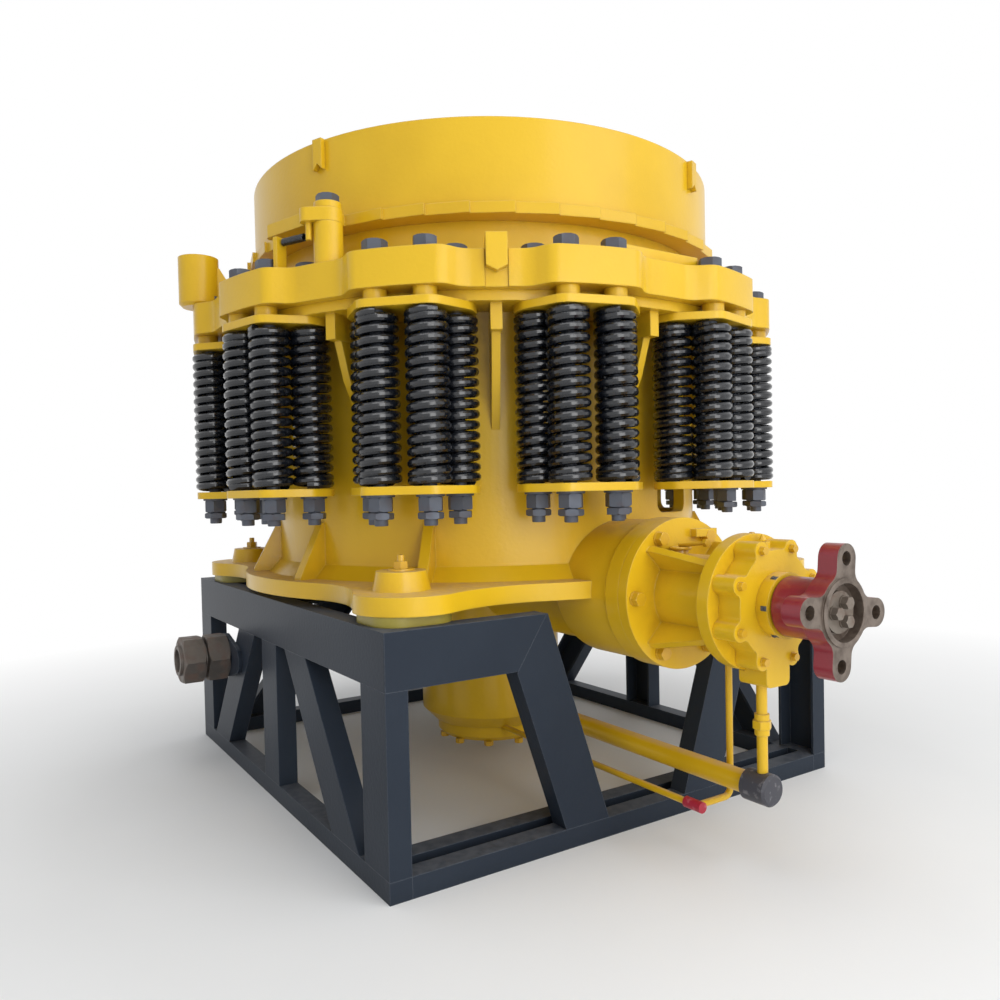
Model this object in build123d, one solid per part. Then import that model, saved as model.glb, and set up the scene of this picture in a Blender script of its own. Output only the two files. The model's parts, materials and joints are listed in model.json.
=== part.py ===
from build123d import *
import os
from math import asin, atan2, cos, degrees, hypot, radians, sin, sqrt

# A spring cone crusher on its steel stand. Millimetres, +Z up, +X along the drive shaft.
# The sizes below are about the crusher's own vertical axis. The finished model is moved
# along X at the end, so that its origin lies under the middle of its length.

# Clearances
SEAT_GAP = 0.3
SHAFT_GAP = 0.05
THREAD_GAP = 0.8
CORNER_SEARCH = 0.5

# Stand of rolled channel
STAND_FRONT = 697
STAND_BACK = -751
STAND_HALF_WIDTH = 683
STAND_HEIGHT = 536
CHANNEL_HEIGHT = 118
CHANNEL_FLANGE = 50
CHANNEL_WALL = 8
BOTTOM_RAIL_HEIGHT = 45
BOTTOM_RAIL_WIDTH = 50
INNER_RAIL_X = 585
LEG_TOP_Y = 330
LEG_FOOT_Y = 185
BRACE_TOP_X = 205
BRACE_FOOT_X = 500
SHIM_HEIGHT = 22
SHIM_SIZE = 180
SHIM_CENTRE = 580
SHIM_CORNER = 60

# Main frame casting
FOOT_RADIUS = 716
FOOT_EAR_X = 575
FOOT_EAR_RADIUS = 118
FOOT_HOLLOW_RADIUS = 300
BASE_THICKNESS = 40
SHELL_RADIUS = 618
SHELL_WALL = 30
SHELL_FLARE = 34
TOP_FLANGE_INSET = 27
TOP_FLANGE_THICKNESS = 23
ANCHOR_X = 545
ANCHOR_Y = 567
ANCHOR_BOSS_RADIUS = 64
ANCHOR_BOSS_TOP_RADIUS = 55
ANCHOR_BOSS_HEIGHT = 42
GUSSET_THICKNESS = 26
GUSSET_HEIGHT = 140
GUSSET_SETBACK = 22
GUSSET_TOE = 6
RIB_THICKNESS = 20
RIB_FOOT_Z = 950
RIB_HEAD_THICKNESS = 26
RIB_HEAD_DEPTH = 58
RIB_HEAD_INSET = 20
RIB_KNEE_Z = 1072
RIB_KNEE_RISE = 71
CONE_DEPTH = 110
SEAT_WIDTH = 12
SEAT_WALL = 8
WINDOW_ANGLES = (20.5, 69.5)
WINDOW_WIDTH = 164
WINDOW_HEIGHT = 130
WINDOW_SILL_Z = 744
WINDOW_CORNER = 25

# Centre hub of the main frame
HUB_RADIUS = 210
HUB_TOP_Z = 900
HUB_FOOT_Z = 123
HUB_TAPER = 36
HUB_COVER_RADIUS = 164
HUB_COVER_THICKNESS = 44
ARM_THICKNESS = 60
ARM_FOOT_Z = 570
ARM_HEIGHT = 160
ARM_RISE = 87
ARM_ANGLES = (60, 180, 300)

# Spring sets round the frame
SPRING_SETS = 12
SPRING_SET_START = 15
OUTER_SPRING_INSET = 44
OUTER_SPRING_T = 56
SPRING_ROW_SPACING = 81
INNER_SPRING_T = 100
SPRING_RADIUS = 48.5
SPRING_WIRE = 20
SPRING_SIDES = 12
LOWER_PLATE_Z = 803
PLATE_THICKNESS = 18
PLATE_MARGIN = 45
PLATE_CORNER = 38
SLEEVE_RADIUS = 26

# Adjustment ring
RING_WIDTH = 164
LOBE_RISE = 43
RING_Z = 1240
RING_HEIGHT = 80
LOBE_HALF_WIDTH = 102
LOBE_SLOPE = 34
LOBE_CORNER = 40
WAIST_CORNER = 55
KEY_ANGLE = -30
KEY_WIDTH = 50
LUG_WIDTH = 46
LUG_DEPTH = 34
LUG_RISE = 30
LUG_POINT = 50

# Bowl, cap and crushing chamber
COLLAR_STEP = 10
COLLAR_WALL = 34
BAND_Z = 1431
BAND_HEIGHT = 26
BAND_OVERHANG = 62
TOOTH_COUNT = 42
TOOTH_DEPTH = 8
CAP_OVERHANG = 37
CAP_WALL = 12
CAP_HEIGHT = 222
HOOK_COUNT = 4
HOOK_START = 23
HOOK_WIDTH = 28
HOOK_HEIGHT = 72
HOOK_THICKNESS = 14
HOPPER_THROAT_RADIUS = 335
HOPPER_THROAT_Z = 1400
HOPPER_WALL = 12
HOPPER_RIM_DROP = 40
LINER_FOOT_INSET = 152
LINER_STEP = 60
LINER_FOOT_Z = 990
LINER_WALL = 34
BOWL_FOOT_WALL = 12
MANTLE_TOP_RADIUS = 130
MANTLE_TOP_Z = 1405
MANTLE_WAIST_RADIUS = 235
MANTLE_WAIST_Z = 1245
CRUSHING_GAP = 24
MANTLE_FOOT_Z = 985
MANTLE_WALL = 45
FEED_PLATE_RADIUS = 170
FEED_PLATE_THICKNESS = 20

# Pawl that locks the cap
POST_ANGLE = -59.3
POST_INSET = 37
POST_RADIUS = 33
POST_HEIGHT = 93
PIVOT_RADIUS = 20
WASHER_RADIUS = 31
WASHER_THICKNESS = 15
PAWL_HEIGHT = 30
PAWL_CLEARANCE = 6
PIN_REACH = 43
PIN_TURN = -106
PIN_CORNER = 19
TAIL_REACH = 178
TAIL_TURN = -155.5
TAIL_RADIUS = 13
NOSE_ANGLE = -63.6
NOSE_RADIUS = 9
PIN_RADIUS = 7
PIN_DROP = 38
ANCHOR_BAR_ANGLE = -68.3
ANCHOR_BAR_OFFSET = 30
ANCHOR_BAR_THICKNESS = 12
ANCHOR_BAR_WIDTH = 30
ANCHOR_BAR_HEIGHT = 76
PAWL_SPRING_RADIUS = 9
RAM_POST_ANGLE = -102
RAM_POST_INSET = 17
RAM_POST_RADIUS = 52
RAM_POST_HEIGHT = 132
RAM_WEB_THICKNESS = 46
RAM_WEB_REACH = 50

# Drive shaft and its housing
SHAFT_Z = 568
SHAFT_RADIUS = 42
SHAFT_POCKET = 60
TUBE_RADIUS = 165
TUBE_SLEEVE_STEP = 20
TUBE_RING_RADIUS = 171
TUBE_RING_X = 752
HOUSING_X = 795
HOUSING_FLANGE_THICKNESS = 28
HOUSING_LUG_Y = 26
HOUSING_LUG_WIDTH = 66
HOUSING_LUG_HEIGHT = 18
NECK_RADIUS = 90
NECK_RIB_HALF = 62
NECK_RIB_TOP = 74
NECK_WEB_ROOT = 150
NECK_WEB_TIP = 110
NECK_WEB_THICKNESS = 16
BEARING_RING_X = 995
BEARING_RING_RADIUS = 141
COVER_X = 1025
COVER_X_END = 1080
COVER_RADIUS = 110
EAR_COUNT = 8
EAR_CIRCLE_RADIUS = 118
EAR_RADIUS = 19
EAR_HOLLOW_RADIUS = 14
SUMP_X = 1010
SUMP_WIDTH = 70
SUMP_DROP = 165
SUMP_CORNER = 12
BREATHER_RADIUS = 9
BREATHER_HEIGHT = 24
HOUSING_BORE = 60
TUBE_BORE = 100
RETAINER_RADIUS = 66
RETAINER_X_END = 1108
COUPLING_HUB_X = 1112
COUPLING_HUB_RADIUS = 60
COUPLING_FACE_X = 1233
COUPLING_THICKNESS = 45
COUPLING_TURN = -5
COUPLING_PCD = 201
COUPLING_TIP_RADIUS = 28
COUPLING_HOLLOW_RADIUS = 26
COUPLING_DISC_RADIUS = 70
COUPLING_HOLE_RADIUS = 13.5
COUPLING_RING_RADIUS = 65
COUPLING_RECESS_RADIUS = 55
COUPLING_RING_RISE = 4
COUPLING_RECESS_DEPTH = 22
END_PLATE_RADIUS = 40
END_PLATE_THICKNESS = 9

# Oil pipes
DRAIN_Z = 186
DRAIN_RADIUS = 24
DRAIN_TEE_X = 1003
DRAIN_TEE_RADIUS = 33
DRAIN_TEE_LENGTH = 62
DRAIN_TEE_CHAMFER = 5
DROP_PIPE_X = 1038
DROP_PIPE_RADIUS = 11
UNION_Z = 318
UNION_COLLAR_RADIUS = 15
UNION_COLLAR_HEIGHT = 44
UNION_NUT_WIDTH = 34
UNION_NUT_HEIGHT = 18
VENT_X = 912
VENT_Y = 45
VENT_RADIUS = 7.5
VENT_BEND = 20
THIN_PIPE_Y = -60
THIN_PIPE_Z = 124
TEE_X = 905
TEE_RADIUS = 12
TEE_LENGTH = 48

# Side stub with two large nuts
STUB_X = -420
STUB_Z = 324
STUB_RADIUS = 45
STUB_BORE_RADIUS = 34
STUB_BORE_DEPTH = 18
STUB_END = 8
STUB_NUT_WIDTH = 128
STUB_NUT_HEIGHT = 62
STUB_NUT_GROOVE = 8
STUB_COLLAR_RADIUS = 66
STUB_LUG_X = -315
STUB_LUG_RADIUS = 40
STUB_PLATE_THICKNESS = 12

# Levels and places that follow from the sizes above
BASE_Z = STAND_HEIGHT + SHIM_HEIGHT
BASE_TOP_Z = BASE_Z + BASE_THICKNESS
RING_TOP_Z = RING_Z + RING_HEIGHT
TOP_FLANGE_Z = RING_Z - TOP_FLANGE_THICKNESS
COLLAR_RADIUS = SHELL_RADIUS + COLLAR_STEP
RING_WAIST_RADIUS = COLLAR_RADIUS + RING_WIDTH
RING_LOBE_RADIUS = RING_WAIST_RADIUS + LOBE_RISE
TOP_FLANGE_RADIUS = RING_WAIST_RADIUS - TOP_FLANGE_INSET
OUTER_SPRING_R = RING_LOBE_RADIUS - OUTER_SPRING_INSET
INNER_SPRING_R = OUTER_SPRING_R - SPRING_ROW_SPACING
POST_R = RING_WAIST_RADIUS - POST_INSET
RAM_POST_R = RING_LOBE_RADIUS - RAM_POST_INSET
BAND_RADIUS = COLLAR_RADIUS + BAND_OVERHANG
CAP_RADIUS = COLLAR_RADIUS + CAP_OVERHANG
CAP_TOP_Z = BAND_Z + CAP_HEIGHT
LINER_FOOT_RADIUS = SHELL_RADIUS - LINER_FOOT_INSET
MANTLE_FOOT_RADIUS = LINER_FOOT_RADIUS - CRUSHING_GAP
LINER_STEP_Z = LINER_FOOT_Z + LINER_STEP
BOWL_FOOT_RADIUS = LINER_FOOT_RADIUS + LINER_WALL + BOWL_FOOT_WALL
PAWL_Z = RING_TOP_Z + POST_HEIGHT + SEAT_GAP
SHAFT_START = SHELL_RADIUS
LOWER_PLATE_TOP_Z = LOWER_PLATE_Z + PLATE_THICKNESS
UPPER_PLATE_Z = TOP_FLANGE_Z - PLATE_THICKNESS
RAIL_Z = STAND_HEIGHT - CHANNEL_HEIGHT
COLLAR_INNER_RADIUS = COLLAR_RADIUS - COLLAR_WALL
SHELL_INNER_RADIUS = SHELL_RADIUS - SHELL_WALL
LOBE_REACH = radians(180 / SPRING_SETS) - asin(LOBE_HALF_WIDTH / RING_LOBE_RADIUS)
ORIGIN_X = (COUPLING_FACE_X - RING_LOBE_RADIUS * cos(LOBE_REACH)) / 2


def polar(radius, angle, z=0):
    """Point at a radius and an angle in degrees about the crusher's axis."""
    return Vector(radius * cos(radians(angle)), radius * sin(radians(angle)), z)


def upright(radius, height, z, centre=(0, 0)):
    """Vertical cylinder standing on level z."""
    place = Location((centre[0], centre[1], z))
    return place * Cylinder(radius, height, align=(Align.CENTER, Align.CENTER, Align.MIN))


def along_x(radius, x_start, x_end, y=0, z=SHAFT_Z):
    """Cylinder along X between two stations."""
    place = Location((x_start, y, z), (0, 90, 0))
    return place * Cylinder(radius, x_end - x_start, align=(Align.CENTER, Align.CENTER, Align.MIN))


def block(x_range, y_range, z_range):
    """Box between three pairs of limits."""
    size = [high - low for low, high in (x_range, y_range, z_range)]
    middle = [(high + low) / 2 for low, high in (x_range, y_range, z_range)]
    return Location(middle) * Box(*size)


def revolved(points):
    """Ring or cone turned from an outline of (radius, z) points."""
    with BuildPart() as body:
        with BuildSketch(Plane.XZ):
            with BuildLine():
                Polyline(*points, close=True)
            make_face()
        revolve(axis=Axis.Z)
    return body.part


def plate(outline, z, height):
    """Flat plate of a closed outline, its lower face on level z."""
    return Location((0, 0, z)) * extrude(outline, height)


def upended_plate(outline, x, depth):
    """Plate of an outline about the shaft, from station x along the shaft."""
    return Location((x, 0, SHAFT_Z)) * extrude(Plane.YZ * outline, depth)


def hollows(sketch, radius):
    """Inner corners of an outline that lie on a circle about its centre."""
    return [corner for corner in sketch.vertices() if abs(hypot(corner.X, corner.Y) - radius) < CORNER_SEARCH]


def hexagon_nut(width, height):
    """Hexagon nut that stands on the origin, its corners turned off at both ends."""
    corner = width / sqrt(3)
    bevel = (corner - width / 2) / sqrt(3)
    turned = [(0, 0), (width / 2, 0), (corner, bevel), (corner, height - bevel), (width / 2, height),
              (0, height)]
    with BuildSketch() as hexagon:
        RegularPolygon(width / 2, 6, major_radius=False)
    return plate(hexagon.sketch, 0, height) & revolved(turned)


def outline_of(points, radius=0, centre=(0, 0)):
    """Closed outline through points, its corners rounded by one radius."""
    with BuildSketch() as sketch:
        with BuildLine():
            Polyline(*[(x + centre[0], y + centre[1]) for x, y in points], close=True)
        make_face()
        if radius:
            fillet(sketch.vertices(), radius)
    return sketch.sketch


def radial_plate(points, thickness, angle):
    """Upright plate in the plane of the axis and an angle, from (radius, z) points."""
    with BuildPart() as body:
        with BuildSketch(Plane.XZ):
            with BuildLine():
                Polyline(*points, close=True)
            make_face()
        extrude(amount=thickness / 2, both=True)
    return Location((0, 0, 0), (0, 0, angle)) * body.part


def channel(start, end, web_out):
    """Rolled channel between two points, with its web's outer face towards web_out."""
    start = Vector(*start)
    run = Vector(*end) - start
    out = Vector(*web_out)
    section = Plane(origin=start, x_dir=run.cross(out).normalized(), z_dir=run.normalized())
    half = CHANNEL_HEIGHT / 2
    toe = -CHANNEL_FLANGE
    inner = half - CHANNEL_WALL
    if section.y_dir.dot(out) < 0:
        toe = CHANNEL_FLANGE
    web = CHANNEL_WALL if toe > 0 else -CHANNEL_WALL
    points = [(-half, 0), (half, 0), (half, toe), (inner, toe), (inner, web), (-inner, web), (-inner, toe),
              (-half, toe)]
    with BuildPart() as body:
        with BuildSketch(section):
            with BuildLine():
                Polyline(*points, close=True)
            make_face()
        extrude(amount=run.length)
    return body.part


def between(body, z_low, z_high):
    """The stretch of a body between two levels."""
    reach = 4 * STAND_HALF_WIDTH
    return body & block((-reach, reach), (-reach, reach), (z_low, z_high))


def set_angles():
    """Angles of the spring sets about the crusher's axis."""
    return [SPRING_SET_START + index * 360 / SPRING_SETS for index in range(SPRING_SETS)]


def spring_places(angle):
    """Centres of one set's four springs."""
    turn = Location((0, 0, 0), (0, 0, angle))
    spots = [(OUTER_SPRING_R, OUTER_SPRING_T), (INNER_SPRING_R, INNER_SPRING_T)]
    return [turn * Location((r, side * t, 0)) for r, t in spots for side in (-1, 1)]


def stand_top_side_rails():
    """Left and right top rails, in channel with the web outside."""
    z = RAIL_Z + CHANNEL_HEIGHT / 2
    bars = []
    for side in (-1, 1):
        y = side * STAND_HALF_WIDTH
        bar = channel((STAND_BACK, y, z), (STAND_FRONT, y, z), (0, side, 0))
        bars.append(bar - corner_wedge(side, False))
    return bars


def stand_top_end_rails():
    """Rear top rail, and the two front stubs between the corners and the mitred legs."""
    z = RAIL_Z + CHANNEL_HEIGHT / 2
    reach = STAND_HALF_WIDTH - CHANNEL_FLANGE
    bars = [channel((STAND_BACK, -reach, z), (STAND_BACK, reach, z), (-1, 0, 0))]
    for side in (-1, 1):
        stub = channel((STAND_FRONT, side * STAND_HALF_WIDTH, z), (STAND_FRONT, 0, z), (1, 0, 0))
        bars.append((stub & front_mitre(side, True)) - corner_wedge(side, True))
    return bars


def corner_wedge(side, from_stub):
    """Prism cut off a rail at a front corner, so that side rail and stub meet in a mitre."""
    corner = (STAND_FRONT, side * STAND_HALF_WIDTH)
    toe = (STAND_FRONT - CHANNEL_FLANGE, side * (STAND_HALF_WIDTH - CHANNEL_FLANGE))
    third = (toe[0], corner[1]) if from_stub else (corner[0], toe[1])
    return plate(outline_of([corner, toe, third]), RAIL_Z, CHANNEL_HEIGHT)


def front_mitre(side, rail_side):
    """Half-space on one side of the cut between a front stub rail and its leg."""
    top = Vector(STAND_FRONT, side * (LEG_TOP_Y - CHANNEL_HEIGHT / 3), STAND_HEIGHT)
    foot = Vector(STAND_FRONT, side * (LEG_TOP_Y + CHANNEL_HEIGHT / 3), RAIL_Z)
    cut = Plane(origin=top, x_dir=(1, 0, 0), z_dir=(top - foot).cross(Vector(1, 0, 0)).normalized())
    size = 3 * STAND_HALF_WIDTH
    away = 1 if (cut.z_dir.Y * side > 0) == rail_side else -1
    return cut * Location((0, 0, away * size / 2)) * Box(size, size, size)


def stand_front_legs():
    """The two slanted front legs that leave room for the drive housing."""
    legs = []
    for side in (-1, 1):
        foot = Vector(STAND_FRONT, side * LEG_FOOT_Y, BOTTOM_RAIL_HEIGHT)
        head = Vector(STAND_FRONT, side * LEG_TOP_Y, RAIL_Z + CHANNEL_HEIGHT / 2)
        run = head - foot
        bar = channel(foot - run * 0.4, head + run * 0.4, (1, 0, 0))
        bar = between(bar, BOTTOM_RAIL_HEIGHT, STAND_HEIGHT)
        legs.append(bar & front_mitre(side, False))
    return legs


def stand_corner_posts():
    """Four upright posts between the rails."""
    posts = []
    for side in (-1, 1):
        for x in (STAND_FRONT - CHANNEL_HEIGHT / 2, STAND_BACK + CHANNEL_HEIGHT / 2):
            y = side * STAND_HALF_WIDTH
            posts.append(channel((x, y, BOTTOM_RAIL_HEIGHT), (x, y, RAIL_Z), (0, side, 0)))
    return posts


def brace_set(side_x, side_y):
    """Middle post and two diagonals of one face, in that face's plane."""
    bars = []
    depth = CHANNEL_FLANGE + SEAT_GAP
    middle = (STAND_FRONT + STAND_BACK) / 2 if side_y else 0
    if side_y:
        face = lambda a, z: (middle + a, side_y * STAND_HALF_WIDTH, z)
        out = (0, side_y, 0)
    else:
        face = lambda a, z: (STAND_BACK, a, z)
        out = (side_x, 0, 0)
    bars.append(channel(face(0, BOTTOM_RAIL_HEIGHT), face(0, RAIL_Z), out))
    for side in (-1, 1):
        foot = Vector(*face(side * BRACE_FOOT_X, BOTTOM_RAIL_HEIGHT))
        head = Vector(*face(side * BRACE_TOP_X, RAIL_Z))
        run = head - foot
        bar = channel(foot - run * 0.4, head + run * 0.4, out)
        bars.append(between(bar, BOTTOM_RAIL_HEIGHT, RAIL_Z))
    return bars


def stand_bottom_rails():
    """Square bottom rails on the floor, with a second rail inside the front one."""
    height = (0, BOTTOM_RAIL_HEIGHT)
    inside = STAND_HALF_WIDTH - BOTTOM_RAIL_WIDTH
    bars = []
    for side in (-1, 1):
        limits = sorted((side * STAND_HALF_WIDTH, side * inside))
        bars.append(block((STAND_BACK, STAND_FRONT), limits, height))
    return bars


def stand_bottom_cross_rails():
    """The bottom rails across the stand, between the side ones."""
    height = (0, BOTTOM_RAIL_HEIGHT)
    inside = STAND_HALF_WIDTH - BOTTOM_RAIL_WIDTH
    starts = (STAND_FRONT - BOTTOM_RAIL_WIDTH, INNER_RAIL_X - BOTTOM_RAIL_WIDTH / 2, STAND_BACK)
    return [block((x, x + BOTTOM_RAIL_WIDTH), (-inside, inside), height) for x in starts]


def corner_shims():
    """Packing plates between the stand and the frame's corners."""
    with BuildSketch() as outline:
        RectangleRounded(SHIM_SIZE, SHIM_SIZE, SHIM_CORNER)
    shim = plate(outline.sketch, STAND_HEIGHT, SHIM_HEIGHT)
    ends = (-SHIM_CENTRE, SHIM_CENTRE)
    return [Location((x, y, 0)) * shim for x in ends for y in ends]


def base_flange():
    """Foot of the frame: a disc with an ear round each anchor bolt, and the bolts' bosses."""
    with BuildSketch() as outline:
        Circle(FOOT_RADIUS)
        with GridLocations(2 * FOOT_EAR_X, 2 * ANCHOR_Y, 2, 2):
            Circle(FOOT_EAR_RADIUS)
        fillet([corner for corner in hollows(outline, FOOT_RADIUS) if abs(corner.Y) > 1], FOOT_HOLLOW_RADIUS)
    body = plate(outline.sketch, BASE_Z, BASE_THICKNESS)
    for x in (-ANCHOR_X, ANCHOR_X):
        for y in (-ANCHOR_Y, ANCHOR_Y):
            boss = Cone(ANCHOR_BOSS_RADIUS, ANCHOR_BOSS_TOP_RADIUS, ANCHOR_BOSS_HEIGHT,
                        align=(Align.CENTER, Align.CENTER, Align.MIN))
            body += Location((x, y, BASE_TOP_Z)) * boss
    return body


def gusset(angle):
    """Triangular web from the foot up the shell."""
    root = SHELL_RADIUS - SHELL_WALL / 2
    tip = FOOT_RADIUS - GUSSET_SETBACK
    top = BASE_TOP_Z + GUSSET_HEIGHT
    points = [(root, BASE_TOP_Z - GUSSET_TOE), (tip, BASE_TOP_Z - GUSSET_TOE), (tip, BASE_TOP_Z + GUSSET_TOE),
              (SHELL_RADIUS + GUSSET_TOE, top), (root, top)]
    return radial_plate(points, GUSSET_THICKNESS, angle)


def spring_rib(angle):
    """Slender rib between two spring sets, with its thicker head under the top flange."""
    root = SHELL_RADIUS - SHELL_WALL / 2
    head = TOP_FLANGE_RADIUS - RIB_HEAD_INSET
    head_foot = TOP_FLANGE_Z - RIB_HEAD_DEPTH
    knee = (SHELL_RADIUS + RIB_KNEE_RISE, RIB_KNEE_Z)
    cone = (root, TOP_FLANGE_Z - CONE_DEPTH)
    web_points = [(root, RIB_FOOT_Z), (SHELL_RADIUS, RIB_FOOT_Z), knee, (head - RIB_HEAD_THICKNESS, head_foot),
                  (head - RIB_HEAD_THICKNESS, TOP_FLANGE_Z), (COLLAR_RADIUS + SEAT_WIDTH, TOP_FLANGE_Z), cone]
    head_points = [(head - RIB_KNEE_RISE, head_foot), (head, head_foot), (head, TOP_FLANGE_Z),
                   (head - RIB_KNEE_RISE, TOP_FLANGE_Z)]
    return radial_plate(web_points, RIB_THICKNESS, angle) + radial_plate(head_points, RIB_HEAD_THICKNESS, angle)


def shell_window(angle):
    """Opening through the shell, with rounded corners."""
    with BuildSketch(Plane.YZ) as outline:
        with Locations((0, WINDOW_SILL_Z + WINDOW_HEIGHT / 2)):
            RectangleRounded(WINDOW_WIDTH, WINDOW_HEIGHT, WINDOW_CORNER)
    return Location((0, 0, 0), (0, 0, angle)) * extrude(outline.sketch, SHELL_RADIUS + SHELL_FLARE)


def main_frame():
    """The frame casting: foot, shell with its windows, top flange, ribs and drive tube."""
    body = base_flange()
    flare = SHELL_RADIUS + SHELL_FLARE
    seat = COLLAR_RADIUS + SEAT_WIDTH
    shell = [(SHELL_INNER_RADIUS, BASE_Z), (flare, BASE_Z), (flare, BASE_TOP_Z),
             (SHELL_RADIUS, BASE_TOP_Z + SHELL_FLARE), (SHELL_RADIUS, TOP_FLANGE_Z - CONE_DEPTH),
             (seat + SEAT_WALL, TOP_FLANGE_Z), (TOP_FLANGE_RADIUS, TOP_FLANGE_Z), (TOP_FLANGE_RADIUS, RING_Z),
             (seat, RING_Z), (SHELL_INNER_RADIUS, RING_Z - CONE_DEPTH)]
    body += revolved(shell)
    body -= upright(SHELL_INNER_RADIUS, BASE_THICKNESS, BASE_Z)
    drive_side = 360 / SPRING_SETS
    for angle in set_angles():
        if abs((angle + 180) % 360 - 180) > drive_side:
            body += gusset(angle)
    for angle in set_angles():
        body += spring_rib(angle + 180 / SPRING_SETS)
    for angle in WINDOW_ANGLES:
        body -= shell_window(angle)
    tube = along_x(TUBE_RADIUS, 0, TUBE_RING_X)
    tube += along_x(TUBE_RING_RADIUS, TUBE_RING_X, HOUSING_X)
    body += tube - upright(SHELL_INNER_RADIUS, SHAFT_Z * 2, 0)
    body -= along_x(TUBE_BORE, 0, HOUSING_X)
    return [body]


def hub_barrel():
    """Barrel in the middle of the frame, with its tapered foot."""
    return revolved([(0, HUB_FOOT_Z), (HUB_RADIUS - HUB_TAPER, HUB_FOOT_Z), (HUB_RADIUS, HUB_FOOT_Z + HUB_TAPER),
                     (HUB_RADIUS, HUB_TOP_Z), (0, HUB_TOP_Z)])


def centre_hub():
    """The barrel with the arms and the drive sleeve that carry it in the shell."""
    body = hub_barrel()
    reach = SHELL_INNER_RADIUS - SEAT_GAP
    arm_top = ARM_FOOT_Z + ARM_HEIGHT
    for angle in ARM_ANGLES:
        points = [(HUB_RADIUS / 2, ARM_FOOT_Z), (SHELL_RADIUS, ARM_FOOT_Z), (SHELL_RADIUS, arm_top),
                  (HUB_RADIUS / 2, arm_top + ARM_RISE)]
        body += radial_plate(points, ARM_THICKNESS, angle)
    body += along_x(TUBE_RADIUS - TUBE_SLEEVE_STEP, 0, SHELL_RADIUS)
    body = body & upright(reach, HUB_TOP_Z, 0)
    return [body - along_x(TUBE_BORE, SHAFT_START - SHAFT_POCKET, SHAFT_START)]


def hub_bottom_cover():
    """Bolted cover under the hub."""
    cover = upright(HUB_COVER_RADIUS, HUB_COVER_THICKNESS, HUB_FOOT_Z - HUB_COVER_THICKNESS)
    return [chamfer(cover.edges().sort_by(Axis.Z)[0], 12)]


def spring_plate_outline():
    """Trapezium under or over one set of springs, its corners round the springs."""
    out = OUTER_SPRING_R + PLATE_MARGIN
    back = INNER_SPRING_R - PLATE_MARGIN
    wide = INNER_SPRING_T + PLATE_MARGIN
    narrow = OUTER_SPRING_T + 0.6 * PLATE_MARGIN
    shoulder = INNER_SPRING_R + 0.7 * PLATE_MARGIN
    points = [(back, -wide), (shoulder, -wide), (out, -narrow), (out, narrow), (shoulder, wide), (back, wide)]
    return outline_of(points, PLATE_CORNER)


def lower_spring_plates():
    """Plates that the bolts pull up under the springs."""
    flat = plate(spring_plate_outline(), LOWER_PLATE_Z, PLATE_THICKNESS)
    return [Location((0, 0, 0), (0, 0, angle)) * flat for angle in set_angles()]


def upper_spring_plates():
    """Plates under the frame's top flange, with the sleeves of the outer bolts."""
    flat = plate(spring_plate_outline(), UPPER_PLATE_Z, PLATE_THICKNESS)
    for side in (-1, 1):
        centre = (OUTER_SPRING_R + SLEEVE_RADIUS / 4, side * OUTER_SPRING_T)
        sleeve = upright(SLEEVE_RADIUS, TOP_FLANGE_THICKNESS, TOP_FLANGE_Z, centre)
        flat += sleeve - upright(TOP_FLANGE_RADIUS + SEAT_GAP, TOP_FLANGE_THICKNESS, TOP_FLANGE_Z)
    return [Location((0, 0, 0), (0, 0, angle)) * flat for angle in set_angles()]


def springs(angles):
    """Spring columns of some sets, as tubes with flat sides."""
    with BuildSketch() as section:
        RegularPolygon(SPRING_RADIUS, SPRING_SIDES)
        RegularPolygon(SPRING_RADIUS - SPRING_WIRE, SPRING_SIDES, mode=Mode.SUBTRACT)
    column = plate(section.sketch, LOWER_PLATE_TOP_Z, UPPER_PLATE_Z - LOWER_PLATE_TOP_Z)
    return [place * column for angle in angles for place in spring_places(angle)]


def ring_outline():
    """Outline of the adjustment ring, with a lobe over each spring set."""
    foot = LOBE_HALF_WIDTH + LOBE_SLOPE
    crown_drop = RING_LOBE_RADIUS - sqrt(RING_LOBE_RADIUS ** 2 - LOBE_HALF_WIDTH ** 2)
    foot_angle = degrees(asin(foot / RING_WAIST_RADIUS))
    spacing = 360 / SPRING_SETS
    with BuildSketch() as sketch:
        with BuildLine():
            for angle in set_angles():
                turn = Location((0, 0, 0), (0, 0, angle))
                low = turn * Location((RING_LOBE_RADIUS - crown_drop, -LOBE_HALF_WIDTH, 0))
                high = turn * Location((RING_LOBE_RADIUS - crown_drop, LOBE_HALF_WIDTH, 0))
                foot_low = polar(RING_WAIST_RADIUS, angle - foot_angle)
                foot_high = polar(RING_WAIST_RADIUS, angle + foot_angle)
                next_foot = polar(RING_WAIST_RADIUS, angle + spacing - foot_angle)
                Line(foot_low, low.position)
                ThreePointArc(low.position, polar(RING_LOBE_RADIUS, angle), high.position)
                Line(high.position, foot_high)
                ThreePointArc(foot_high, polar(RING_WAIST_RADIUS, angle + spacing / 2), next_foot)
        make_face()
        fillet(hollows(sketch, RING_LOBE_RADIUS), LOBE_CORNER)
        fillet(hollows(sketch, RING_WAIST_RADIUS), WAIST_CORNER)
    return sketch.sketch


def key_slot(extra=0):
    """Space of the key in the adjustment ring."""
    half = KEY_WIDTH / 2 + extra
    body = block((COLLAR_RADIUS, RING_LOBE_RADIUS), (-half, half), (RING_Z, RING_TOP_Z))
    return Location((0, 0, 0), (0, 0, KEY_ANGLE)) * body


def adjustment_ring():
    """Lobed ring that the springs hold down on the frame."""
    ring = plate(ring_outline(), RING_Z, RING_HEIGHT)
    ring -= upright(COLLAR_RADIUS + THREAD_GAP, RING_HEIGHT, RING_Z)
    return [ring - key_slot(SEAT_GAP)]


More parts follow.
